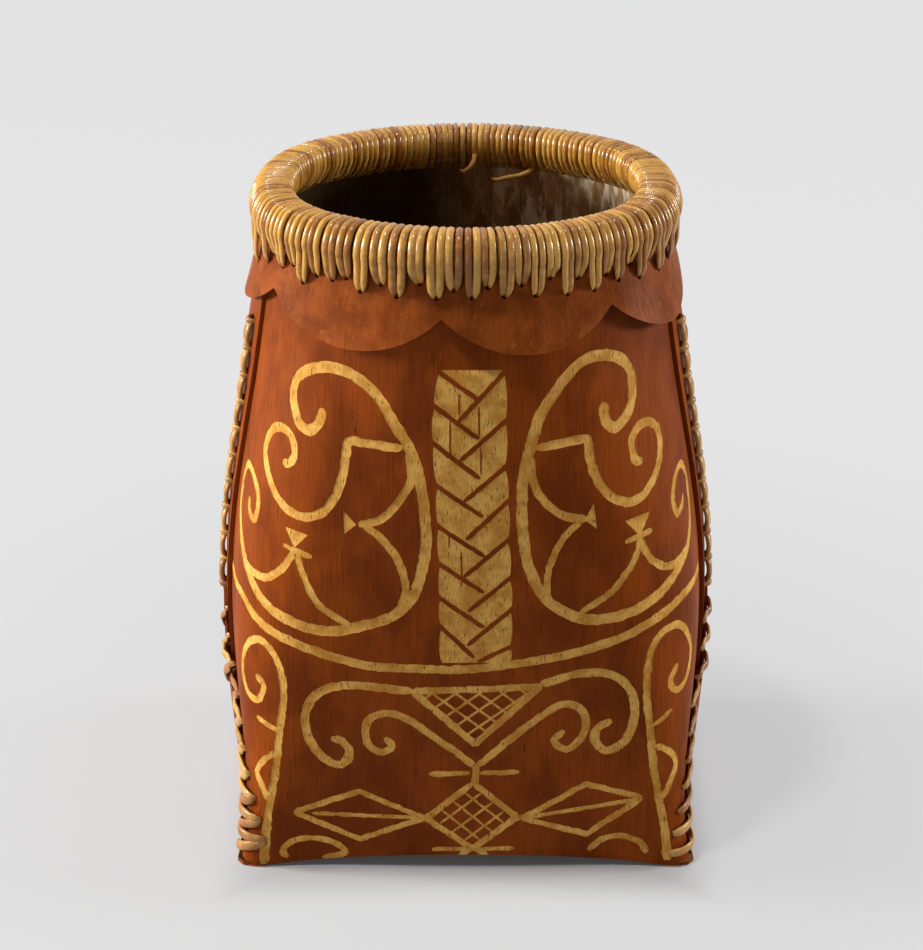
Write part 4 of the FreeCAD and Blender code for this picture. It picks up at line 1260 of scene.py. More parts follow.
@dataclass(frozen=True)
class Hatching:
    """Two sets of thin scraped lines across a figure with straight sides. The pitch is in pixels."""

    corners: tuple[Flat, ...]
    ways: tuple[Flat, Flat]
    pitch: float
    width: float = 1.35
    inset: float = 0.7

    def lines(self) -> list[Grid]:
        """Draws the hatching.

        Returns:
            Its lines, ending on the figure's sides, in pixels.
        """
        polygon = np.array(self.corners, float)
        shortest = self.pitch * self.inset
        found = []
        for way in self.ways:
            ahead = np.array(way) / np.hypot(*way)
            aside = np.array((-ahead[1], ahead[0]))
            levels = polygon @ aside
            corners = list(zip(polygon, levels))
            for level in np.arange(levels.min() + shortest, levels.max(), self.pitch):
                crossings = []
                for (p, a), (q, b) in zip(corners, corners[1:] + corners[:1]):
                    if (a > level) != (b > level):
                        crossings.append(p + (q - p) * (level - a) / (b - a))
                if len(crossings) == 2 and np.linalg.norm(crossings[0] - crossings[1]) > shortest:
                    found.append(np.array(crossings))
        return found


HATCHINGS = (
    Hatching(((416, 693), (536, 690), (475, 741)), ((1.0, 0.72), (1.0, -0.68)), 13.5),
    Hatching(((473, 787), (512, 817), (472, 845), (431, 818)), ((1.0, 0.78), (1.0, -0.74)), 14.0),
)


@dataclass(frozen=True)
class Plait:
    """The upright plait: leaves from two sides, each ending on the lines between the other side's leaves.

    A line's four numbers are its start on the plait's edge and its end, in pixels, as the top, foot, bulge
    and overrun are. The widths of a line and a crack are in millimetres.
    """

    left_lines: tuple[tuple[float, float, float, float], ...] = (
        (441, 373, 480, 401), (435, 407, 479, 439), (434, 444, 480, 479), (438, 487, 483, 517),
        (439, 527, 485, 557), (441, 565, 484, 593), (441, 599, 484, 628), (442, 628, 474, 658),
    )
    right_lines: tuple[tuple[float, float, float, float], ...] = (
        (503, 373, 458, 422), (505, 421, 459, 462), (504, 468, 464, 502), (507, 502, 466, 540),
        (507, 541, 464, 577), (509, 579, 468, 612), (510, 611, 467, 646), (509, 648, 478, 662),
    )
    cracks: tuple[tuple[float, float, float, float], ...] = (
        (459, 394, 459, 415), (450, 421, 450, 457), (479, 407, 479, 437), (481, 449, 481, 475),
        (461, 552, 462, 586), (449, 532, 449, 548),
    )
    top: float = 370.0
    foot: float = 663.0
    bulge: float = 3.0
    bulge_fullness: float = 0.6
    bulge_steps: int = 7
    overrun: float = 6.0
    line: float = 2.3
    crack: float = 0.7
    roughness: float = 0.12

    def edge(self, lines: tuple, out: float) -> Grid:
        """Draws one side of the plait, bulging between the lines that start on it.

        Args:
            lines: Those lines, from the top down.
            out: How far the side bulges to the right.

        Returns:
            The side's points, from the top down, in pixels.
        """
        marks = [(lines[0][0], self.top), *((x, y) for x, y, _, _ in lines[1:]), (lines[-1][0], self.foot)]
        points = []
        for (x1, low), (x2, high) in zip(marks, marks[1:]):
            share = np.linspace(0, 1, self.bulge_steps + 1)[:-1]
            swell = np.clip(np.sin(share * math.pi), 0, 1) ** self.bulge_fullness * out
            points.append(np.stack((x1 + (x2 - x1) * share + swell, low + (high - low) * share), 1))
        return np.vstack((*points, [marks[-1]]))

    def outline(self) -> Grid:
        """Draws the whole scraped column.

        Returns:
            Its closed edge on the flat front.
        """
        left = self.edge(self.left_lines, -self.bulge)
        right = self.edge(self.right_lines, self.bulge)
        return EYE.to_wall(np.vstack((left, right[::-1])))

    def standing(self, rng: np.random.Generator) -> list[Ribbon]:
        """Draws the bark left between the leaves, and the cracks down through them.

        Args:
            rng: Where the unevenness of their edges comes from.

        Returns:
            What is spared when the column is scraped.
        """
        found = []
        for lines, past, width in (
            (self.left_lines, -self.overrun, self.line),
            (self.right_lines, self.overrun, self.line),
            (self.cracks, 0, self.crack),
        ):
            for x1, y1, x2, y2 in lines:
                slope = (y2 - y1) / (x2 - x1) if past else 0.0
                pixels = np.array(((x1 + past, y1 + past * slope), (x2, y2)), float)
                path = smooth_path(EYE.to_wall(pixels), LINE_STEP)
                found.append(Ribbon.along(path, width, rng, self.roughness))
        return found


# ---- the parts of the container ----
class End(Enum):
    """The two ends, by the sign of x."""

    LEFT = -1
    RIGHT = 1


class Panel(Enum):
    """The two panels, by the sign of y."""

    FRONT = -1
    BACK = 1


@dataclass
class Bark:
    """The folded sheet: front with its ornament, back with its lapping wings, end flaps and base.

    A ripple is its height, its lengths along and up the sheet, and where it starts. It is calm at the foot,
    under the collar and towards the folds, past the still shares of the half round.
    """

    back_wing: float = 34.0
    front_wing: float = 24.0
    wing_taper: float = 0.2
    flap_half_base: float = 80.0
    flap_height: float = 118.0
    flap_tip: float = 6.0
    flap_bow: float = 1.4
    flap_step: float = 12.0
    flap_sunk: float = 0.8
    flap_thickness: float = 1.3
    base_inset: float = 0.4
    base_steps: int = 180
    border_step: float = 4.0
    ripples: tuple[tuple[float, float, float, float], ...] = (
        (1.0, 31.0, 47.0, 1.0), (0.7, 17.0, -39.0, 0.0), (0.5, 60.0, 21.0, 0.0),
    )
    ripple_height: float = 0.28
    calm_foot: float = 40.0
    calm_top: float = 262.0
    calm_fade: float = 30.0
    front_still: float = 0.42
    back_still: float = 0.36
    still_fade: float = 0.1
    hatching_roughness: float = 0.08
    known_reach: float = 88.0
    known_step: float = 4.0
    known_row: float = 2.0
    seed: int = 7

    def wing_share(self, height: float) -> float:
        """Where the back's wings end, as a share of the half round."""
        y = -self.back_wing + self.wing_taper * max(0.0, height - WALL.neck_height)
        return WALL.end_share(y, height)

    def side_border(self, share_at: Callable[[float], float]) -> Grid:
        """Draws a panel's border, the same on the left and right, from its right half.

        Args:
            share_at: Takes a height, and returns the share of the half round where the panel ends.

        Returns:
            The border's corners in order, flat.
        """
        top = WALL.mouth.height
        heights = np.arange(0, top + 0.01, top / round(top / self.border_step))
        right = np.array([(share_at(h) * WALL.half_round(h), h) for h in heights])
        foot = np.arange(-right[0, 0], right[0, 0], self.border_step)[1:]
        foot = np.stack((foot, arch(foot)), 1)
        head = np.linspace(right[-1, 0], -right[-1, 0], round(2 * right[-1, 0] / self.border_step))[1:-1]
        head = np.stack((head, np.full(len(head), top)), 1)
        return np.vstack((foot, right, head, (right * (-1, 1))[::-1]))

    def ripple(self, flat: Grid, still: float) -> Grid:
        """Works out the slight unevenness of old bark.

        Args:
            flat: The flat places.
            still: The share of the half round at which the sheet lies still.

        Returns:
            How far each place stands out.
        """
        u, z = flat[:, 0], flat[:, 1]
        share = u / WALL.half_round(z)
        waves = sum(tall * np.sin(u / along + z / up + start) for tall, along, up, start in self.ripples)
        calm = np.clip(z / self.calm_foot, 0, 1) * np.clip((self.calm_top - z) / self.calm_fade, 0, 1)
        return self.ripple_height * waves * calm * np.clip((still - np.abs(share)) / self.still_fade, 0, 1)

    def front(self) -> BarkSheet:
        """Cuts the front panel, with every scraped line in it.

        Returns:
            The panel.
        """
        def lay(flat: Grid, depth: Grid) -> Grid:
            """Lays the front on the wall."""
            share = flat[:, 0] / WALL.half_round(flat[:, 1])
            return WALL.around(share, flat[:, 1], self.ripple(flat, self.front_still) - depth)

        border = self.side_border(lambda height: WALL.end_share(self.front_wing, height))
        sheet = BarkSheet("front_panel", border, lay)
        rng = np.random.default_rng(self.seed)
        for stroke in (*LEFT_SCROLL, *RIGHT_SCROLL, *LOWER_ARC, *SIDE_HOOKS, *MIDDLE_FIGURES):
            sheet.scraped.append(Ribbon.along(stroke.on_wall(), stroke.width, rng))
        for hatching in HATCHINGS:
            for line in hatching.lines():
                places = smooth_path(EYE.to_wall(line), LINE_STEP)
                sheet.scraped.append(Ribbon.along(places, hatching.width, rng, self.hatching_roughness))
        for corners in (*LEFT_POINTS, *RIGHT_POINTS):
            sheet.cut_shapes.append(EYE.to_wall(np.array(corners, float)))
        plait = Plait()
        sheet.cut_shapes.append(plait.outline())
        sheet.spared += plait.standing(rng)
        return sheet

    def back(self, holes: list[Hole]) -> BarkSheet:
        """Cuts the back panel and its wings, which lap over the front's at both ends.

        Args:
            holes: The awl holes in the wings.

        Returns:
            The panel, which is cut flat from the middle of the back.
        """
        def lay(flat: Grid, depth: Grid) -> Grid:
            """Lays the back on the wall, outside the front's wings at the ends."""
            share, wave = flat[:, 0] / WALL.half_round(flat[:, 1]), self.ripple(flat, self.back_still)
            return WALL.around(share, flat[:, 1], wave - depth, SECOND_OUT + wave - depth, from_back=True)

        border = self.side_border(lambda height: 1 - self.wing_share(height))
        return BarkSheet("back_panel", border, lay, mirrored=True, holes=holes)

    def flap_border(self) -> Grid:
        """Draws an end flap: a triangle with a rounded tip, whose sides are then bowed.

        Returns:
            The border's corners in order, as y and height.
        """
        slope = math.atan2(self.flap_height, self.flap_half_base)
        centre = self.flap_height - self.flap_tip / math.cos(slope)
        turn = np.linspace(-slope, slope, 9)
        tip = np.stack((-np.sin(turn), np.cos(turn)), 1) * self.flap_tip + (0, centre)
        half = np.linspace(0, 1, 30)
        right = np.stack((self.flap_half_base * (1 - half), self.flap_height * half), 1)
        right = right[right[:, 1] < tip[0, 1] - 1]
        foot = np.linspace(-self.flap_half_base, self.flap_half_base, 40)[1:-1]
        foot = np.stack((foot, np.zeros(len(foot))), 1)
        border = np.vstack((foot, right, tip, (right * (-1, 1))[::-1]))
        level = np.clip(border[:, 1] / self.flap_height, 0, 0.98)
        border[:, 0] *= (1 - level**self.flap_bow) / (1 - level)
        return border

    def flap(self, name: str, side: int, holes: list[Hole]) -> BarkSheet:
        """Cuts a pointed end flap, the outermost layer, pressed in where no wing lies under it.

        Args:
            name: The flap's name.
            side: The sign of x at its end.
            holes: The awl holes along its edges, as y, height and radius.

        Returns:
            The flap, whose flat places are y and height.
        """
        reach, step, row = self.known_reach, self.known_step, self.known_row
        heights = np.arange(0, self.flap_height + 2 * row, row)
        aside = np.arange(-reach, reach + 1, step)
        known = np.array([[WALL.end_share(y, z) for y in aside] for z in heights])

        def lay(flat: Grid, depth: Grid) -> Grid:
            """Lays the flap on its end.

            Args:
                flat: Its flat places.
                depth: Their depths below its outer face.

            Returns:
                The places in space.
            """
            column = np.clip((flat[:, 0] + reach) / step, 0, known.shape[1] - 1.001)
            share = read_between(known, flat[:, 1] / row, column)
            over_wing = np.clip((flat[:, 0] + self.back_wing + self.flap_step) / self.flap_step, 0, 1)
            pressed = SECOND_OUT - self.flap_sunk
            out = pressed + (THIRD_OUT - pressed) * over_wing**2 * (3 - 2 * over_wing)
            return WALL.around(side * share, flat[:, 1], pressed - depth, out - depth)

        return BarkSheet(name, self.flap_border(), lay, thickness=self.flap_thickness, mirrored=side < 0,
                         holes=holes)

    def bottom(self) -> BarkSheet:
        """Cuts the base, arched between the two strips that it rests on.

        Returns:
            The base, whose flat places are x and y.
        """
        def lay(flat: Grid, depth: Grid) -> Grid:
            """Lays the base, its outer face down."""
            return np.column_stack((flat, arch(flat[:, 0]) + depth))

        share = np.linspace(-1, 1, self.base_steps + 1)[:-1]
        border = WALL.around(share, 0.0, -self.base_inset, SECOND_OUT - self.base_inset)[:, :2]
        return BarkSheet("base_sheet", border, lay, mirrored=True)

    def dress(self, materials: list[Material], wing_holes: list[Hole],
              flap_holes: Callable[[int], list[Hole]]) -> None:
        """Builds every layer of the sheet.

        Args:
            materials: The materials of the outer face, the scraped ground and the inner face.
            wing_holes: The awl holes in the back's wings.
            flap_holes: Takes the sign of x at an end, and returns the holes in its flap.
        """
        sheets = [self.front(), self.back(wing_holes), self.bottom()]
        for end in End:
            sheets.append(self.flap(f"{end.name.lower()}_flap", end.value, flap_holes(end.value)))
        for sheet in sheets:
            keep(sheet.build(materials), Slot.WINTER_BARK, "bark_body")


@dataclass
class RimLashing:
    """Split root whipped round both hoops, two turns to each awl hole.

    The turns lie wider apart round one share of the half round. Their holes and tops stray a little.
    """

    hole_height: float = 298.0
    stagger: float = 2.7
    hole_radius: float = 1.25
    hole_aside: float = 0.6
    hole_up: float = 1.3
    closest: float = 3.15
    widest_more: float = 0.9
    widest_at: float = -0.1
    widest_span: float = 0.16
    beside_hole: float = 0.7
    top_aside: float = 0.25
    top_level: float = 322.0
    fullness: float = 0.515
    narrow: float = 0.85
    widening: float = 1.45
    widening_bend: float = 0.8
    lengths: int = 11
    tails: tuple[tuple[Hole, ...], ...] = (
        (
            (13.0, 74.0, 299.0), (15.0, 70.8, 299.5), (21.0, 69.0, 301.5), (28.0, 67.5, 303.5),
            (33.0, 70.0, 305.5), (34.0, 73.5, 306.5),
        ),
        (
            (-3.0, 74.5, 303.5), (-1.0, 70.5, 304.0), (2.0, 69.0, 306.5), (4.0, 69.3, 310.0),
            (4.6, 70.5, 313.0),
        ),
    )
    tails_share: float = 1.12
    tail_girth: float = 1.25
    tail_tone: float = 0.35
    seed: int = 31
    strands: int = field(init=False)
    shares: Grid = field(init=False)

    def __post_init__(self) -> None:
        """Spaces the turns round the rim, wider on the left of the front."""
        around = WALL.half_round(WALL.mouth.height)
        share = np.linspace(-1, 1, 4001)
        beyond = (share - self.widest_at) / self.widest_span
        pitch = self.closest + self.widest_more * np.exp(-(beyond**2))
        turned = np.concatenate(([0.0], np.cumsum(around * np.diff(share) / pitch[1:])))
        self.strands = 2 * round(turned[-1] / 2)
        steps = (np.arange(self.strands) + 0.5) / self.strands * turned[-1]
        self.shares = np.interp(steps, turned, share)

    def hole(self, index: int) -> tuple[float, float]:
        """Finds the awl hole that a turn uses.

        Args:
            index: The turn's number.

        Returns:
            The hole's share of the half round, and its height.
        """
        pair = index // 2
        middle = self.shares[2 * pair : 2 * pair + 2].mean()
        rng = np.random.default_rng(self.seed + pair)
        shift = rng.normal(0, self.hole_aside) / WALL.half_round(WALL.mouth.height)
        rise = self.stagger * (1 if pair % 2 else -1) + rng.normal(0, self.hole_up)
        return middle + shift, self.hole_height + rise

    def holes(self) -> list[tuple[float, float]]:
        """Every awl hole."""
        return [self.hole(index) for index in range(0, self.strands, 2)]

    def turn(self, index: int, rng: np.random.Generator) -> tuple[Grid, Grid, Grid]:
        """Winds one turn of root, from its hole over both hoops and down the inside.

        Args:
            index: The turn's number.
            rng: Where its own wandering and width come from.

        Returns:
            The turn's line, outward directions and half widths.
        """
        length = WALL.half_round(WALL.mouth.height)
        hole_share, hole_height = self.hole(index)
        aside = (self.beside_hole if index % 2 else -self.beside_hole) / length
        ends = float(WALL.look_up(self.shares[index], self.top_level)[2]) ** 2
        collar = SECOND_OUT + ends * (THIRD_OUT - SECOND_OUT)
        hoop = collar + WALL.gap
        inner = -WALL.bark - WALL.gap
        top_shift = rng.normal(0, self.top_aside) / length
        # share of the way from the hole to the top, distance outwards, height and outward tilt
        rows = (
            (0.00, collar - 1.8, hole_height, 1.0),
            (0.10, collar + 0.7, hole_height + 0.7, 0.9),
            (0.58, collar + 2.2, hole_height + 3.6, 0.9),
            (0.92, hoop + 4.2, 308.6, 0.9),
            (0.97, hoop + 6.1, 314.6, 1.0),
            (0.98, hoop + 5.3, 320.4, 0.8),
            (1.00, hoop + 2.9, 324.0, 0.35),
            (1.00, (hoop + inner) / 2, 324.9, 0.0),
            (1.00, inner - 2.9, 324.0, -0.35),
            (1.00, inner - 5.2, 320.6, -0.8),
            (1.00, inner - 6.1, 314.8, -1.0),
            (0.96, inner - 4.2, 308.8, -0.8),
            (0.90, inner - 1.6, 305.2, -0.5),
            (0.80, inner + 0.8, 303.4, -0.4),
        )
        line = smooth_path(np.array(rows), 1.7)
        reach = np.clip(line[:, 0], 0, 1)
        share = hole_share + aside + (self.shares[index] + top_shift - hole_share - aside) * reach
        places = WALL.around(share, line[:, 2], line[:, 1])
        tilt = np.clip(line[:, 3], -1, 1)[:, None]
        faces = WALL.outward(share, line[:, 2]) * tilt + np.array((0, 0, 1.0)) * np.sqrt(1 - tilt**2)
        neighbours = self.shares[(index + 1) % self.strands], self.shares[index - 1]
        pitch = (neighbours[0] - neighbours[1]) % 2 / 2 * length
        wide = pitch * self.fullness * rng.uniform(0.9, 1.06)
        widened = np.clip(reach * self.widening, 0, 1) ** self.widening_bend
        return places, faces, self.narrow + (wide - self.narrow) * widened

    def length_at(self, share: float) -> int:
        """The number of the length of root at a share of the half round, counted from the right end."""
        return min(int((share - 0.5) % 2 / 2 * self.lengths), self.lengths - 1)

    def pieces(self) -> list[Strands]:
        """Winds the lengths of root, each a run of turns, and hangs two tails inside the back.

        Returns:
            The lengths.
        """
        rng = np.random.default_rng(self.seed)
        found = [Strands(f"rim_lashing_{i + 1:02d}") for i in range(self.lengths)]
        for index in range(self.strands):
            group = found[self.length_at(self.shares[index])]
            group.add(*self.turn(index, rng), float(rng.beta(1.2, 2.0)))
        for tail in self.tails:
            line = smooth_path(np.array(tail), 1.5)
            forward = np.tile((0.0, -1.0, 0.0), (len(line), 1))
            behind = found[self.length_at(self.tails_share)]
            behind.add(line, forward, np.full(len(line), self.tail_girth), self.tail_tone)
        return found

    def dress(self, tool: StrandTool) -> None:
        """Builds the lengths of root with a tool."""
        for number, strands in enumerate(self.pieces(), start=1):
            keep(strands.build(tool), Slot.RIM_ROOT, f"rim_root_{number:02d}")


@dataclass
class Collar:
    """The scalloped collar, a strip laid round outside the neck and pierced by the rim's awl holes.

    It flares towards its scallops. Two lobes are lifted more, each named by its number and the way in
    which it rises. Lift runs along a lobe from its start and drops at its end, as shares of the lobe.
    """

    lobes: int = 7
    lobe_half_width: float = 40.0
    cusp: float = 286.5
    lowest: float = 269.5
    joint: float = 1.2
    thickness: float = 2.0
    spacing: float = 6.0
    shift: float = 0.034
    flare: float = 1.6
    flare_top: float = 306.0
    flare_height: float = 36.0
    lift: float = 4.6
    lifted: tuple[tuple[int, int], ...] = ((4, 1), (6, -1))
    lift_start: float = 0.35
    lift_rise: float = 0.5
    lift_drop: float = 0.04
    edge_points: int = 210
    joint_points: int = 12

    def shifted(self, share: Grid) -> Grid:
        """Shares of the half round, moved so that the front's lobes lie a little to the right."""
        return share - self.shift * np.clip(np.cos(share * math.pi), 0, 1)

    def foot(self, share: Grid) -> Grid:
        """Works out the scalloped edge, with a cusp at the right end.

        Args:
            share: Places on the edge, as shares of the half round.

        Returns:
            The heights there.
        """
        width = 2 / self.lobes
        span = self.lobe_half_width
        from_middle = np.abs((self.shifted(share) - 0.5) % width - width / 2) / (width / 2)
        rise = self.cusp - self.lowest
        radius = (span**2 + rise**2) / (2 * rise)
        return self.lowest + radius - np.sqrt(radius**2 - (from_middle * span) ** 2)

    def sheet(self, rim: RimLashing) -> BarkSheet:
        """Cuts the collar.

        Args:
            rim: The lashing, whose awl holes pierce it.

        Returns:
            The collar. Its flat places are shares of the half round times its length, and heights.
        """
        length = WALL.half_round(WALL.mouth.height)
        top = WALL.mouth.height
        start, stop = -1.5 * length + self.joint / 2, 0.5 * length - self.joint / 2
        along = np.linspace(start, stop, self.edge_points)
        lower = np.stack((along, self.foot(along / length)), 1)
        sides = np.linspace(self.cusp, top, self.joint_points)[1:-1]
        upper = np.stack((along[::-1], np.full(len(along), top)), 1)
        border = np.vstack((lower, [(stop, h) for h in sides], upper, [(start, h) for h in sides[::-1]]))

        def lay(flat: Grid, depth: Grid) -> Grid:
            """Lays the collar round the neck, its lower edge standing off a little.

            Args:
                flat: Its flat places.
                depth: Their depths below its outer face.

            Returns:
                The places in space.
            """
            share = flat[:, 0] / length
            lobe = (self.shifted(share) - 0.5) % 2 * self.lobes / 2
            lift = np.full(len(lobe), self.flare)
            for number, ahead in self.lifted:
                along = (lobe - number) * ahead + (ahead < 0)
                near = (along > 0) & (along < 1)
                rising = np.clip((along - self.lift_start) / self.lift_rise, 0, 1)
                lift += near * self.lift * rising * np.clip((1 - along) / self.lift_drop, 0, 1)
            out = lift * np.clip((self.flare_top - flat[:, 1]) / self.flare_height, 0, 1.1) ** 2 - depth
            return WALL.around(share, flat[:, 1], SECOND_OUT + out, THIRD_OUT + out)

        wrapped = [((share + 1.5) % 2 - 1.5, height) for share, height in rim.holes()]
        pierced = [(share * length, height, rim.hole_radius) for share, height in wrapped]
        return BarkSheet("collar_strip", border, lay, thickness=self.thickness, spacing=self.spacing,
                         holes=pierced)

    def dress(self, materials: list[Material], rim: RimLashing) -> None:
        """Builds the collar from the materials of a sheet's three faces, pierced for the rim's lashing."""
        keep(self.sheet(rim).build(materials), Slot.COLLAR_BARK, "collar")


@dataclass
class EndSeam:
    """The double running seam that holds the wings together at one end.

    The rows of each route are distance aside, height and distance outwards.
    """

    foot: float = 124.0
    head: float = 262.0
    stitches: int = 10
    setback: float = 10.0
    hole_radius: float = 1.5
    girth: float = 1.8
    seed: int = 51

    def holes(self) -> list[tuple[float, float]]:
        """Places of the awl holes: y and height."""
        heights = np.linspace(self.foot, self.head, self.stitches + 1)
        return [(self.setback - Bark.back_wing, float(h)) for h in heights]

    def wing_holes(self) -> list[Hole]:
        """Finds the awl holes in both wings.

        Returns:
            Their places on the flat back, from its middle, and their radius.
        """
        found = []
        for y, height in self.holes():
            share = 1 - WALL.end_share(y, height)
            found += [(s * share * WALL.half_round(height), height, self.hole_radius) for s in (-1, 1)]
        return found

    def strands(self, name: str, side: int) -> Strands:
        """Sews one end, with strands on the outside, on the inside and across each hole.

        Args:
            name: The seam's name.
            side: The sign of x at the end.

        Returns:
            The seam's strands.
        """
        rng = np.random.default_rng(self.seed + side)
        found = Strands(name)
        places = self.holes()
        for (y, low), (_, high) in zip(places, places[1:]):
            for across, bow in ((-1.0, 0.5), (1.0, -0.5)):
                outer = (
                    (0.0, low + 0.6, 0.8), (across * 0.9, low + 1.4, 3.4),
                    (across * 1.6 + bow, low + 4.0, 4.4), (across * 1.5 - bow, high - 4.0, 4.4),
                    (across * 0.9, high - 1.4, 3.4), (0.0, high - 0.6, 0.8),
                )
                self.lay(found, smooth_path(outer, 1.5), y, side, rng)
            inner = (
                (0.0, low + 0.6, -1.0), (0.3, low + 2.0, -2.9), (0.5, (low + high) / 2, -3.2),
                (0.3, high - 2.0, -2.9), (0.0, high - 0.6, -1.0),
            )
            self.lay(found, smooth_path(inner, 1.5), y, side, rng)
        for y, height in places:
            over = (
                (-2.9, height - 0.5, 0.9), (-2.6, height - 0.3, 2.9), (-1.2, height, 4.5),
                (1.2, height + 0.3, 4.6), (2.6, height + 0.6, 2.9), (2.9, height + 0.8, 0.9),
            )
            self.lay(found, smooth_path(over, 1.2), y, side, rng)
        return found

    def lay(self, found: Strands, rows: Grid, y: float, side: int, rng: np.random.Generator) -> None:
        """Adds one strand.

        Args:
            found: The strands that it joins.
            rows: Its route.
            y: The y of its holes.
            side: The sign of x at the end.
            rng: Where its width and tone come from.
        """
        share = side * np.array([WALL.end_share(y + r[0], r[1]) for r in rows])
        places = WALL.around(share, rows[:, 1], rows[:, 2])
        faces = WALL.outward(share, rows[:, 1]) * np.sign(rows[:, 2].mean())
        girth = self.girth * rng.uniform(0.9, 1.15) * np.clip(0.55 + from_ends(len(rows)) * 0.2, 0, 1)
        found.add(places, faces, girth, float(rng.random()))

    def dress(self, end: End, tool: StrandTool) -> None:
        """Builds the seam at one end with a tool."""
        name = f"{end.name.lower()}_seam"
        keep(self.strands(name, end.value).build(tool), Slot.SEAM_ROOT, f"{name}_root")


@dataclass
class FlapSeam:
    """Whip stitches over one slanting edge of an end flap.

    The root winds one way all round, so a stitch's end on the flap is higher than its middle on two of the
    edges and lower on the other two. The rows of each route are distance off the flap's edge, rise above
    the stitch's middle and distance outwards.
    """

    foot: float = 9.0
    head: float = 103.0
    stitches: int = 10
    reach: float = 6.5
    hole_radius: float = 1.0
    lowest_hole: float = 3.0
    girth: float = 2.6
    slim: float = 1.9
    inner_girth: float = 1.3
    rise: float = 3.4
    fall: float = 10.0
    second_leg: float = 7.5
    least_reach: float = 1.6
    spread: float = 7.0
    crossed_below: float = 90.0
    full_spread: float = 34.0
    flatness: float = 0.42
    seed: int = 71

    def edge(self, height: float) -> float:
        """Half width of the flap at a height."""
        return Bark.flap_half_base * (1 - (height / Bark.flap_height) ** Bark.flap_bow)

    def heights(self) -> Grid:
        """The heights of the stitches."""
        return np.linspace(self.foot, self.head, self.stitches)

    def slant(self, side: int, depth: int) -> float:
        """How much higher a stitch's end on the flap is than its middle, by the signs of x and y."""
        return self.rise if side * depth < 0 else -self.fall

    def flap_holes(self, side: int) -> list[Hole]:
        """Finds the awl holes in one flap, along both edges.

        Args:
            side: The sign of x at its end.

        Returns:
            Their y, height and radius.
        """
        found = []
        for height in self.heights():
            for depth in (-1, 1):
                y = depth * (self.edge(height) - self.reach)
                level = max(height + self.slant(side, depth), self.lowest_hole)
                found.append((y, level, self.hole_radius))
        return found

    def strands(self, name: str, side: int, depth: int) -> Strands:
        """Sews one edge.

        Args:
            name: The stitches' name.
            side: The sign of x at the end.
            depth: The sign of y at the edge.

        Returns:
            The strands.
        """
        rng = np.random.default_rng(self.seed + 2 * side + depth)
        found = Strands(name)
        slant = self.slant(side, depth)
        for number, height in enumerate(self.heights()):
            edge = self.edge(height)
            on_wing = depth > 0 or edge < Bark.back_wing
            panel = SECOND_OUT if on_wing else 0.0
            flap = THIRD_OUT if on_wing else SECOND_OUT - Bark.flap_sunk
            lowness = min(1.0, max(0.0, (self.crossed_below - height) / self.full_spread))
            far = self.reach + self.least_reach + self.spread * lowness
            legs = [slant + rng.normal(0, 0.3)]
            if slant < 0 and height < self.crossed_below:
                legs.append(self.second_leg + rng.normal(0, 0.4))
            for rise in legs:
                high = -slant * 0.55
                rows = (
                    (-self.reach, rise, flap - 1.6),
                    (-self.reach + 0.5, rise, flap + 0.4),
                    (-3.4, rise * 0.75 + high * 0.25, flap + 1.1),
                    (0.6, (rise + high) / 2, flap + 1.2),
                    (far * 0.45, rise * 0.3 + high * 0.7, panel + 1.5),
                    (far - 1.8, rise * 0.1 + high * 0.9, panel + 1.0),
                    (far, high, panel + 0.5),
                    (far + 0.4, high, panel - 1.4),
                )
                girth = self.girth if len(legs) > 1 or slant > 0 else self.slim
                self.lay(found, smooth_path(rows, 1.3), height, edge, side, depth, rng, girth)
            if number + 1 < self.stitches:
                pitch = (self.head - self.foot) / (self.stitches - 1)
                inner = (
                    (self.reach, 0.0, -0.8), (self.reach - 0.6, 0.5, -2.9), (0.0, pitch / 2, -3.2),
                    (-self.reach - 2.4, pitch - 0.5, -2.9), (-self.reach - 7.2, pitch, -0.8),
                )
                route = smooth_path(inner, 1.8)
                self.lay(found, route, height, edge, side, depth, rng, self.inner_girth)
        return found

    def lay(self, found: Strands, rows: Grid, height: float, edge: float, side: int, depth: int,
            rng: np.random.Generator, girth: float) -> None:
        """Adds one strand, which keeps off the ground.

        Args:
            found: The strands that it joins.
            rows: Its route.
            height: The height of the stitch's middle.
            edge: The flap's half width there.
            side: The sign of x at the end.
            depth: The sign of y at the edge.
            rng: Where its width and tone come from.
            girth: Its half width.
        """
        levels = np.clip(height + rows[:, 1], girth * 1.08 + 0.1, 320)
        share = np.array([WALL.end_share(depth * edge, z) for z in levels])
        share = side * (share + depth * rows[:, 0] / WALL.half_round(levels))
        out = rows[:, 2]
        places = WALL.around(share, levels, np.minimum(out, SECOND_OUT + 1.2), out)
        faces = WALL.outward(share, levels) * np.sign(out.mean())
        swell = np.clip(0.45 + 2.4 * (from_ends(len(rows)) / (len(rows) / 2)), 0, 1)
        found.add(places, faces, girth * rng.uniform(0.88, 1.08) * swell, float(rng.random()))

    def dress(self, end: End, panel: Panel, tool: StrandTool) -> None:
        """Builds the stitches along the edge of one end's flap that lies towards a panel.

        Args:
            end: The end.
            panel: The panel.
            tool: What makes the strands.
        """
        where = f"{end.name.lower()}_{panel.name.lower()}_flap"
        strands = self.strands(f"{where}_stitches", end.value, panel.value)
        keep(strands.build(tool), Slot.SEAM_ROOT, f"{where}_root")


@dataclass(frozen=True)
class Hoops:
    """The two bent hoops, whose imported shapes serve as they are."""

    names: tuple[str, ...] = ("outer_hoop", "inner_hoop")

    def dress(self, finish: Material) -> None:
        """Gives the hoops their wood.

        Args:
            finish: The wood.
        """
        for name in self.names:
            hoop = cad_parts[name]
            hoop.data.materials.clear()
            hoop.data.materials.append(finish)
            LOG.info("%s: wood", name)


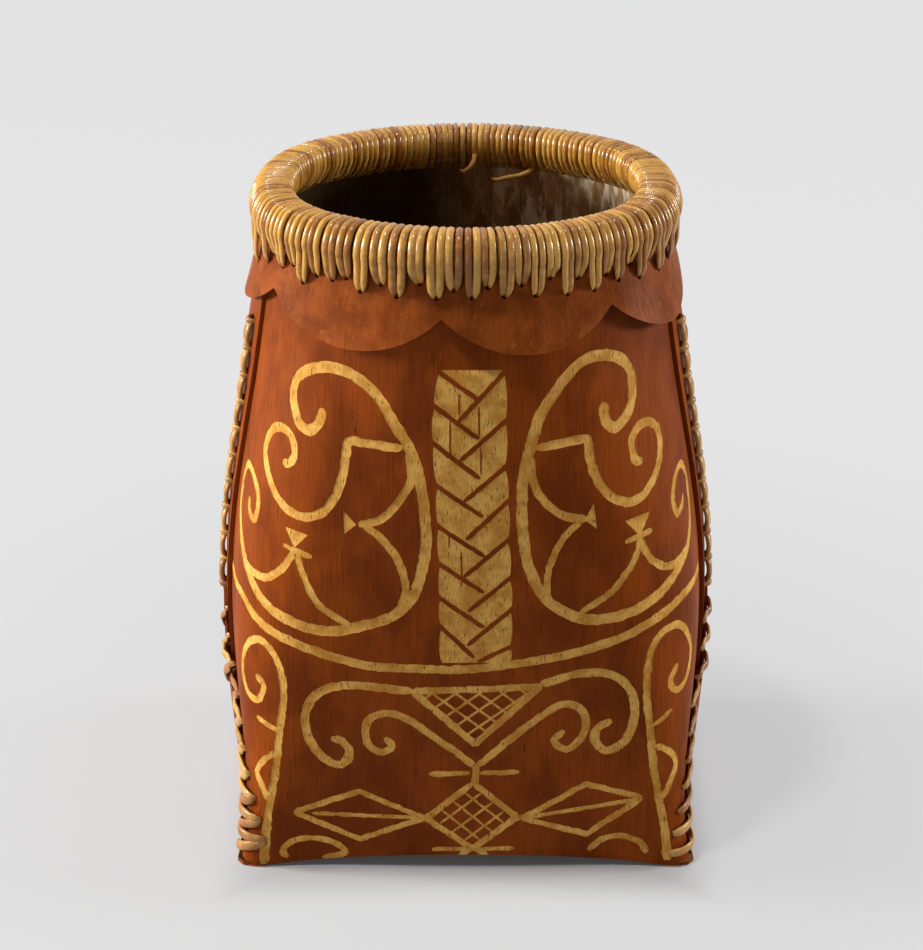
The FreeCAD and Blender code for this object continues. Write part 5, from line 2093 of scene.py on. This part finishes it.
# ---- the room ----
@dataclass(frozen=True)
class Lamp:
    """A soft round lamp that faces the container. Its place and size are in metres, its power in watts."""

    name: str
    place: tuple[float, float, float]
    size: float
    power: float
    tint: str = "#ffffff"
    aim_height: float = 0.15

    def hang(self) -> None:
        """Adds the lamp to the scene."""
        data = bpy.data.lights.new(self.name, "AREA")
        data.shape = "DISK"
        data.size = self.size
        data.energy = self.power
        data.color = colour(self.tint)[:3]
        lamp = bpy.data.objects.new(self.name, data)
        lamp.location = self.place
        aim = Vector((0, 0, self.aim_height)) - Vector(self.place)
        lamp.rotation_euler = aim.to_track_quat("-Z", "Y").to_euler()
        bpy.context.scene.collection.objects.link(lamp)


@dataclass(frozen=True)
class Studio:
    """A pale seamless floor and soft daylight, strongest from the left.

    The floor glows for the rays that see the room, less near the container and hardly under it or round its
    base, so that the container keeps its shadow; the dimmer glow round the base also darkens the floor there
    where it is lit, a painted shade.
    Reaches on the floor are in metres.
    """

    floor_tone: str = "#aeaeae"
    room_tone: str = "#e8e8e9"
    half_floor: float = 6000.0
    floor_drop: float = 0.4
    floor_glow: float = 0.93
    near_glow: float = 0.62
    contact_shade_glow: float = 0.06
    glow_reach: Flat = (0.12, 0.55)
    contact_shade_reach: Flat = (0.092, 0.128)
    daylight: float = 0.13
    lamps: tuple[Lamp, ...] = (
        Lamp("left_window", (-1.6, 0.08, 0.66), 0.45, 41, "#fffcf7"),
        Lamp("right_window", (1.7, 0.14, 0.66), 0.45, 23),
        Lamp("ceiling", (-0.35, -0.24, 1.9), 0.16, 17),
        Lamp("front_card", (-1.3, -1.9, 0.35), 0.9, 7.5),
    )

    def sight(self, tree: Tree) -> Socket:
        """Finds the rays that see the room: from the camera, off gloss and through clear things.

        Args:
            tree: The tree that asks.

        Returns:
            1 for those rays and 0 for the others.
        """
        rays = add_node(tree, "ShaderNodeLightPath").outputs
        seen = rays["Is Camera Ray"]
        for kind in ("Is Glossy Ray", "Is Transmission Ray"):
            seen = add_node(
                tree, "ShaderNodeMath", {0: seen, 1: rays[kind]}, operation="MAXIMUM"
            ).outputs["Value"]
        return seen

    def floor(self) -> Piece:
        """Makes the floor, which takes the container's shadow.

        Returns:
            The floor.
        """
        # a matt painted sweep: an even grey with no edge to be seen
        material, tree = new_material("seamless_floor")
        matt = add_node(tree, "ShaderNodeBsdfDiffuse", {"Color": colour(self.floor_tone)}).outputs["BSDF"]
        glow = add_node(tree, "ShaderNodeEmission", {"Color": colour(self.room_tone)}).outputs["Emission"]
        place = add_node(tree, "ShaderNodeTexCoord").outputs["Object"]
        away = add_node(tree, "ShaderNodeVectorMath", {0: place}, operation="LENGTH").outputs["Value"]
        beside = add_node(tree, "ShaderNodeVectorMath", {0: place}, operation="ABSOLUTE").outputs["Vector"]
        x, y, _ = add_node(tree, "ShaderNodeSeparateXYZ", {"Vector": beside}).outputs
        squarely = add_node(tree, "ShaderNodeMath", {0: x, 1: y}, operation="MAXIMUM").outputs["Value"]
        share = self.sight(tree)
        # painted shade: in a box round the base the floor hardly glows, so it is darker there even where lit
        for distance, (near, far), least, most in (
            (squarely, self.contact_shade_reach, self.contact_shade_glow, 1.0),
            (away, self.glow_reach, self.near_glow, self.floor_glow),
        ):
            glowing = add_node(
                tree, "ShaderNodeMapRange",
                {"Value": distance, "From Min": near, "From Max": far, "To Min": least, "To Max": most},
                interpolation_type="SMOOTHSTEP",
            ).outputs["Result"]
            share = add_node(
                tree, "ShaderNodeMath", {0: share, 1: glowing}, operation="MULTIPLY"
            ).outputs["Value"]
        shader = add_node(tree, "ShaderNodeMixShader", {0: share, 1: matt, 2: glow}).outputs[0]
        add_node(tree, "ShaderNodeOutputMaterial", {"Surface": shader})
        quarters = ((-1, -1), (1, -1), (1, 1), (-1, 1))
        corners = [(x * self.half_floor, y * self.half_floor, -self.floor_drop) for x, y in quarters]
        return make_object("floor", corners, [(0, 1, 2, 3)], [material])

    def world(self) -> None:
        """Makes an even grey room, which the camera and glossy rays see pale."""
        world = bpy.data.worlds.new("room")
        bpy.context.scene.world = world
        world.use_nodes = True
        tree = world.node_tree
        tree.nodes.clear()
        light, seen = (
            add_node(tree, "ShaderNodeBackground", {"Color": colour(tone), "Strength": strength}).outputs[0]
            for tone, strength in (("#ffffff", self.daylight), (self.room_tone, 1.0))
        )
        mixed = add_node(tree, "ShaderNodeMixShader", {0: self.sight(tree), 1: light, 2: seen}).outputs[0]
        add_node(tree, "ShaderNodeOutputWorld", {"Surface": mixed})


# ---- putting it together ----
def main() -> None:
    """Builds the container from the inside out, and the room round it."""
    bpy.context.scene.view_settings.view_transform = "Standard"
    EYE.place_camera()
    finishes = Finishes()
    seam, flap_seam, rim = EndSeam(), FlapSeam(), RimLashing()
    winter, scraped, lining = (f.build() for f in (finishes.winter, finishes.scraped, finishes.lining))
    Bark().dress([winter, scraped, lining], seam.wing_holes(), flap_seam.flap_holes)
    Collar().dress([finishes.collar.build(), lining, lining], rim)
    tree = strand_tree()
    rim_finish, seam_finish = finishes.rim.build(), finishes.seam.build()
    rim.dress(StrandTool(tree, rim_finish))
    for end in End:
        seam.dress(end, StrandTool(tree, seam_finish))
        for panel in Panel:
            flap_seam.dress(end, panel, StrandTool(tree, seam_finish, flatness=flap_seam.flatness))
    Hoops().dress(finishes.hoop.build())
    studio = Studio()
    studio.floor()
    for lamp in studio.lamps:
        lamp.hang()
    studio.world()


if __name__ == "__main__":
    main()
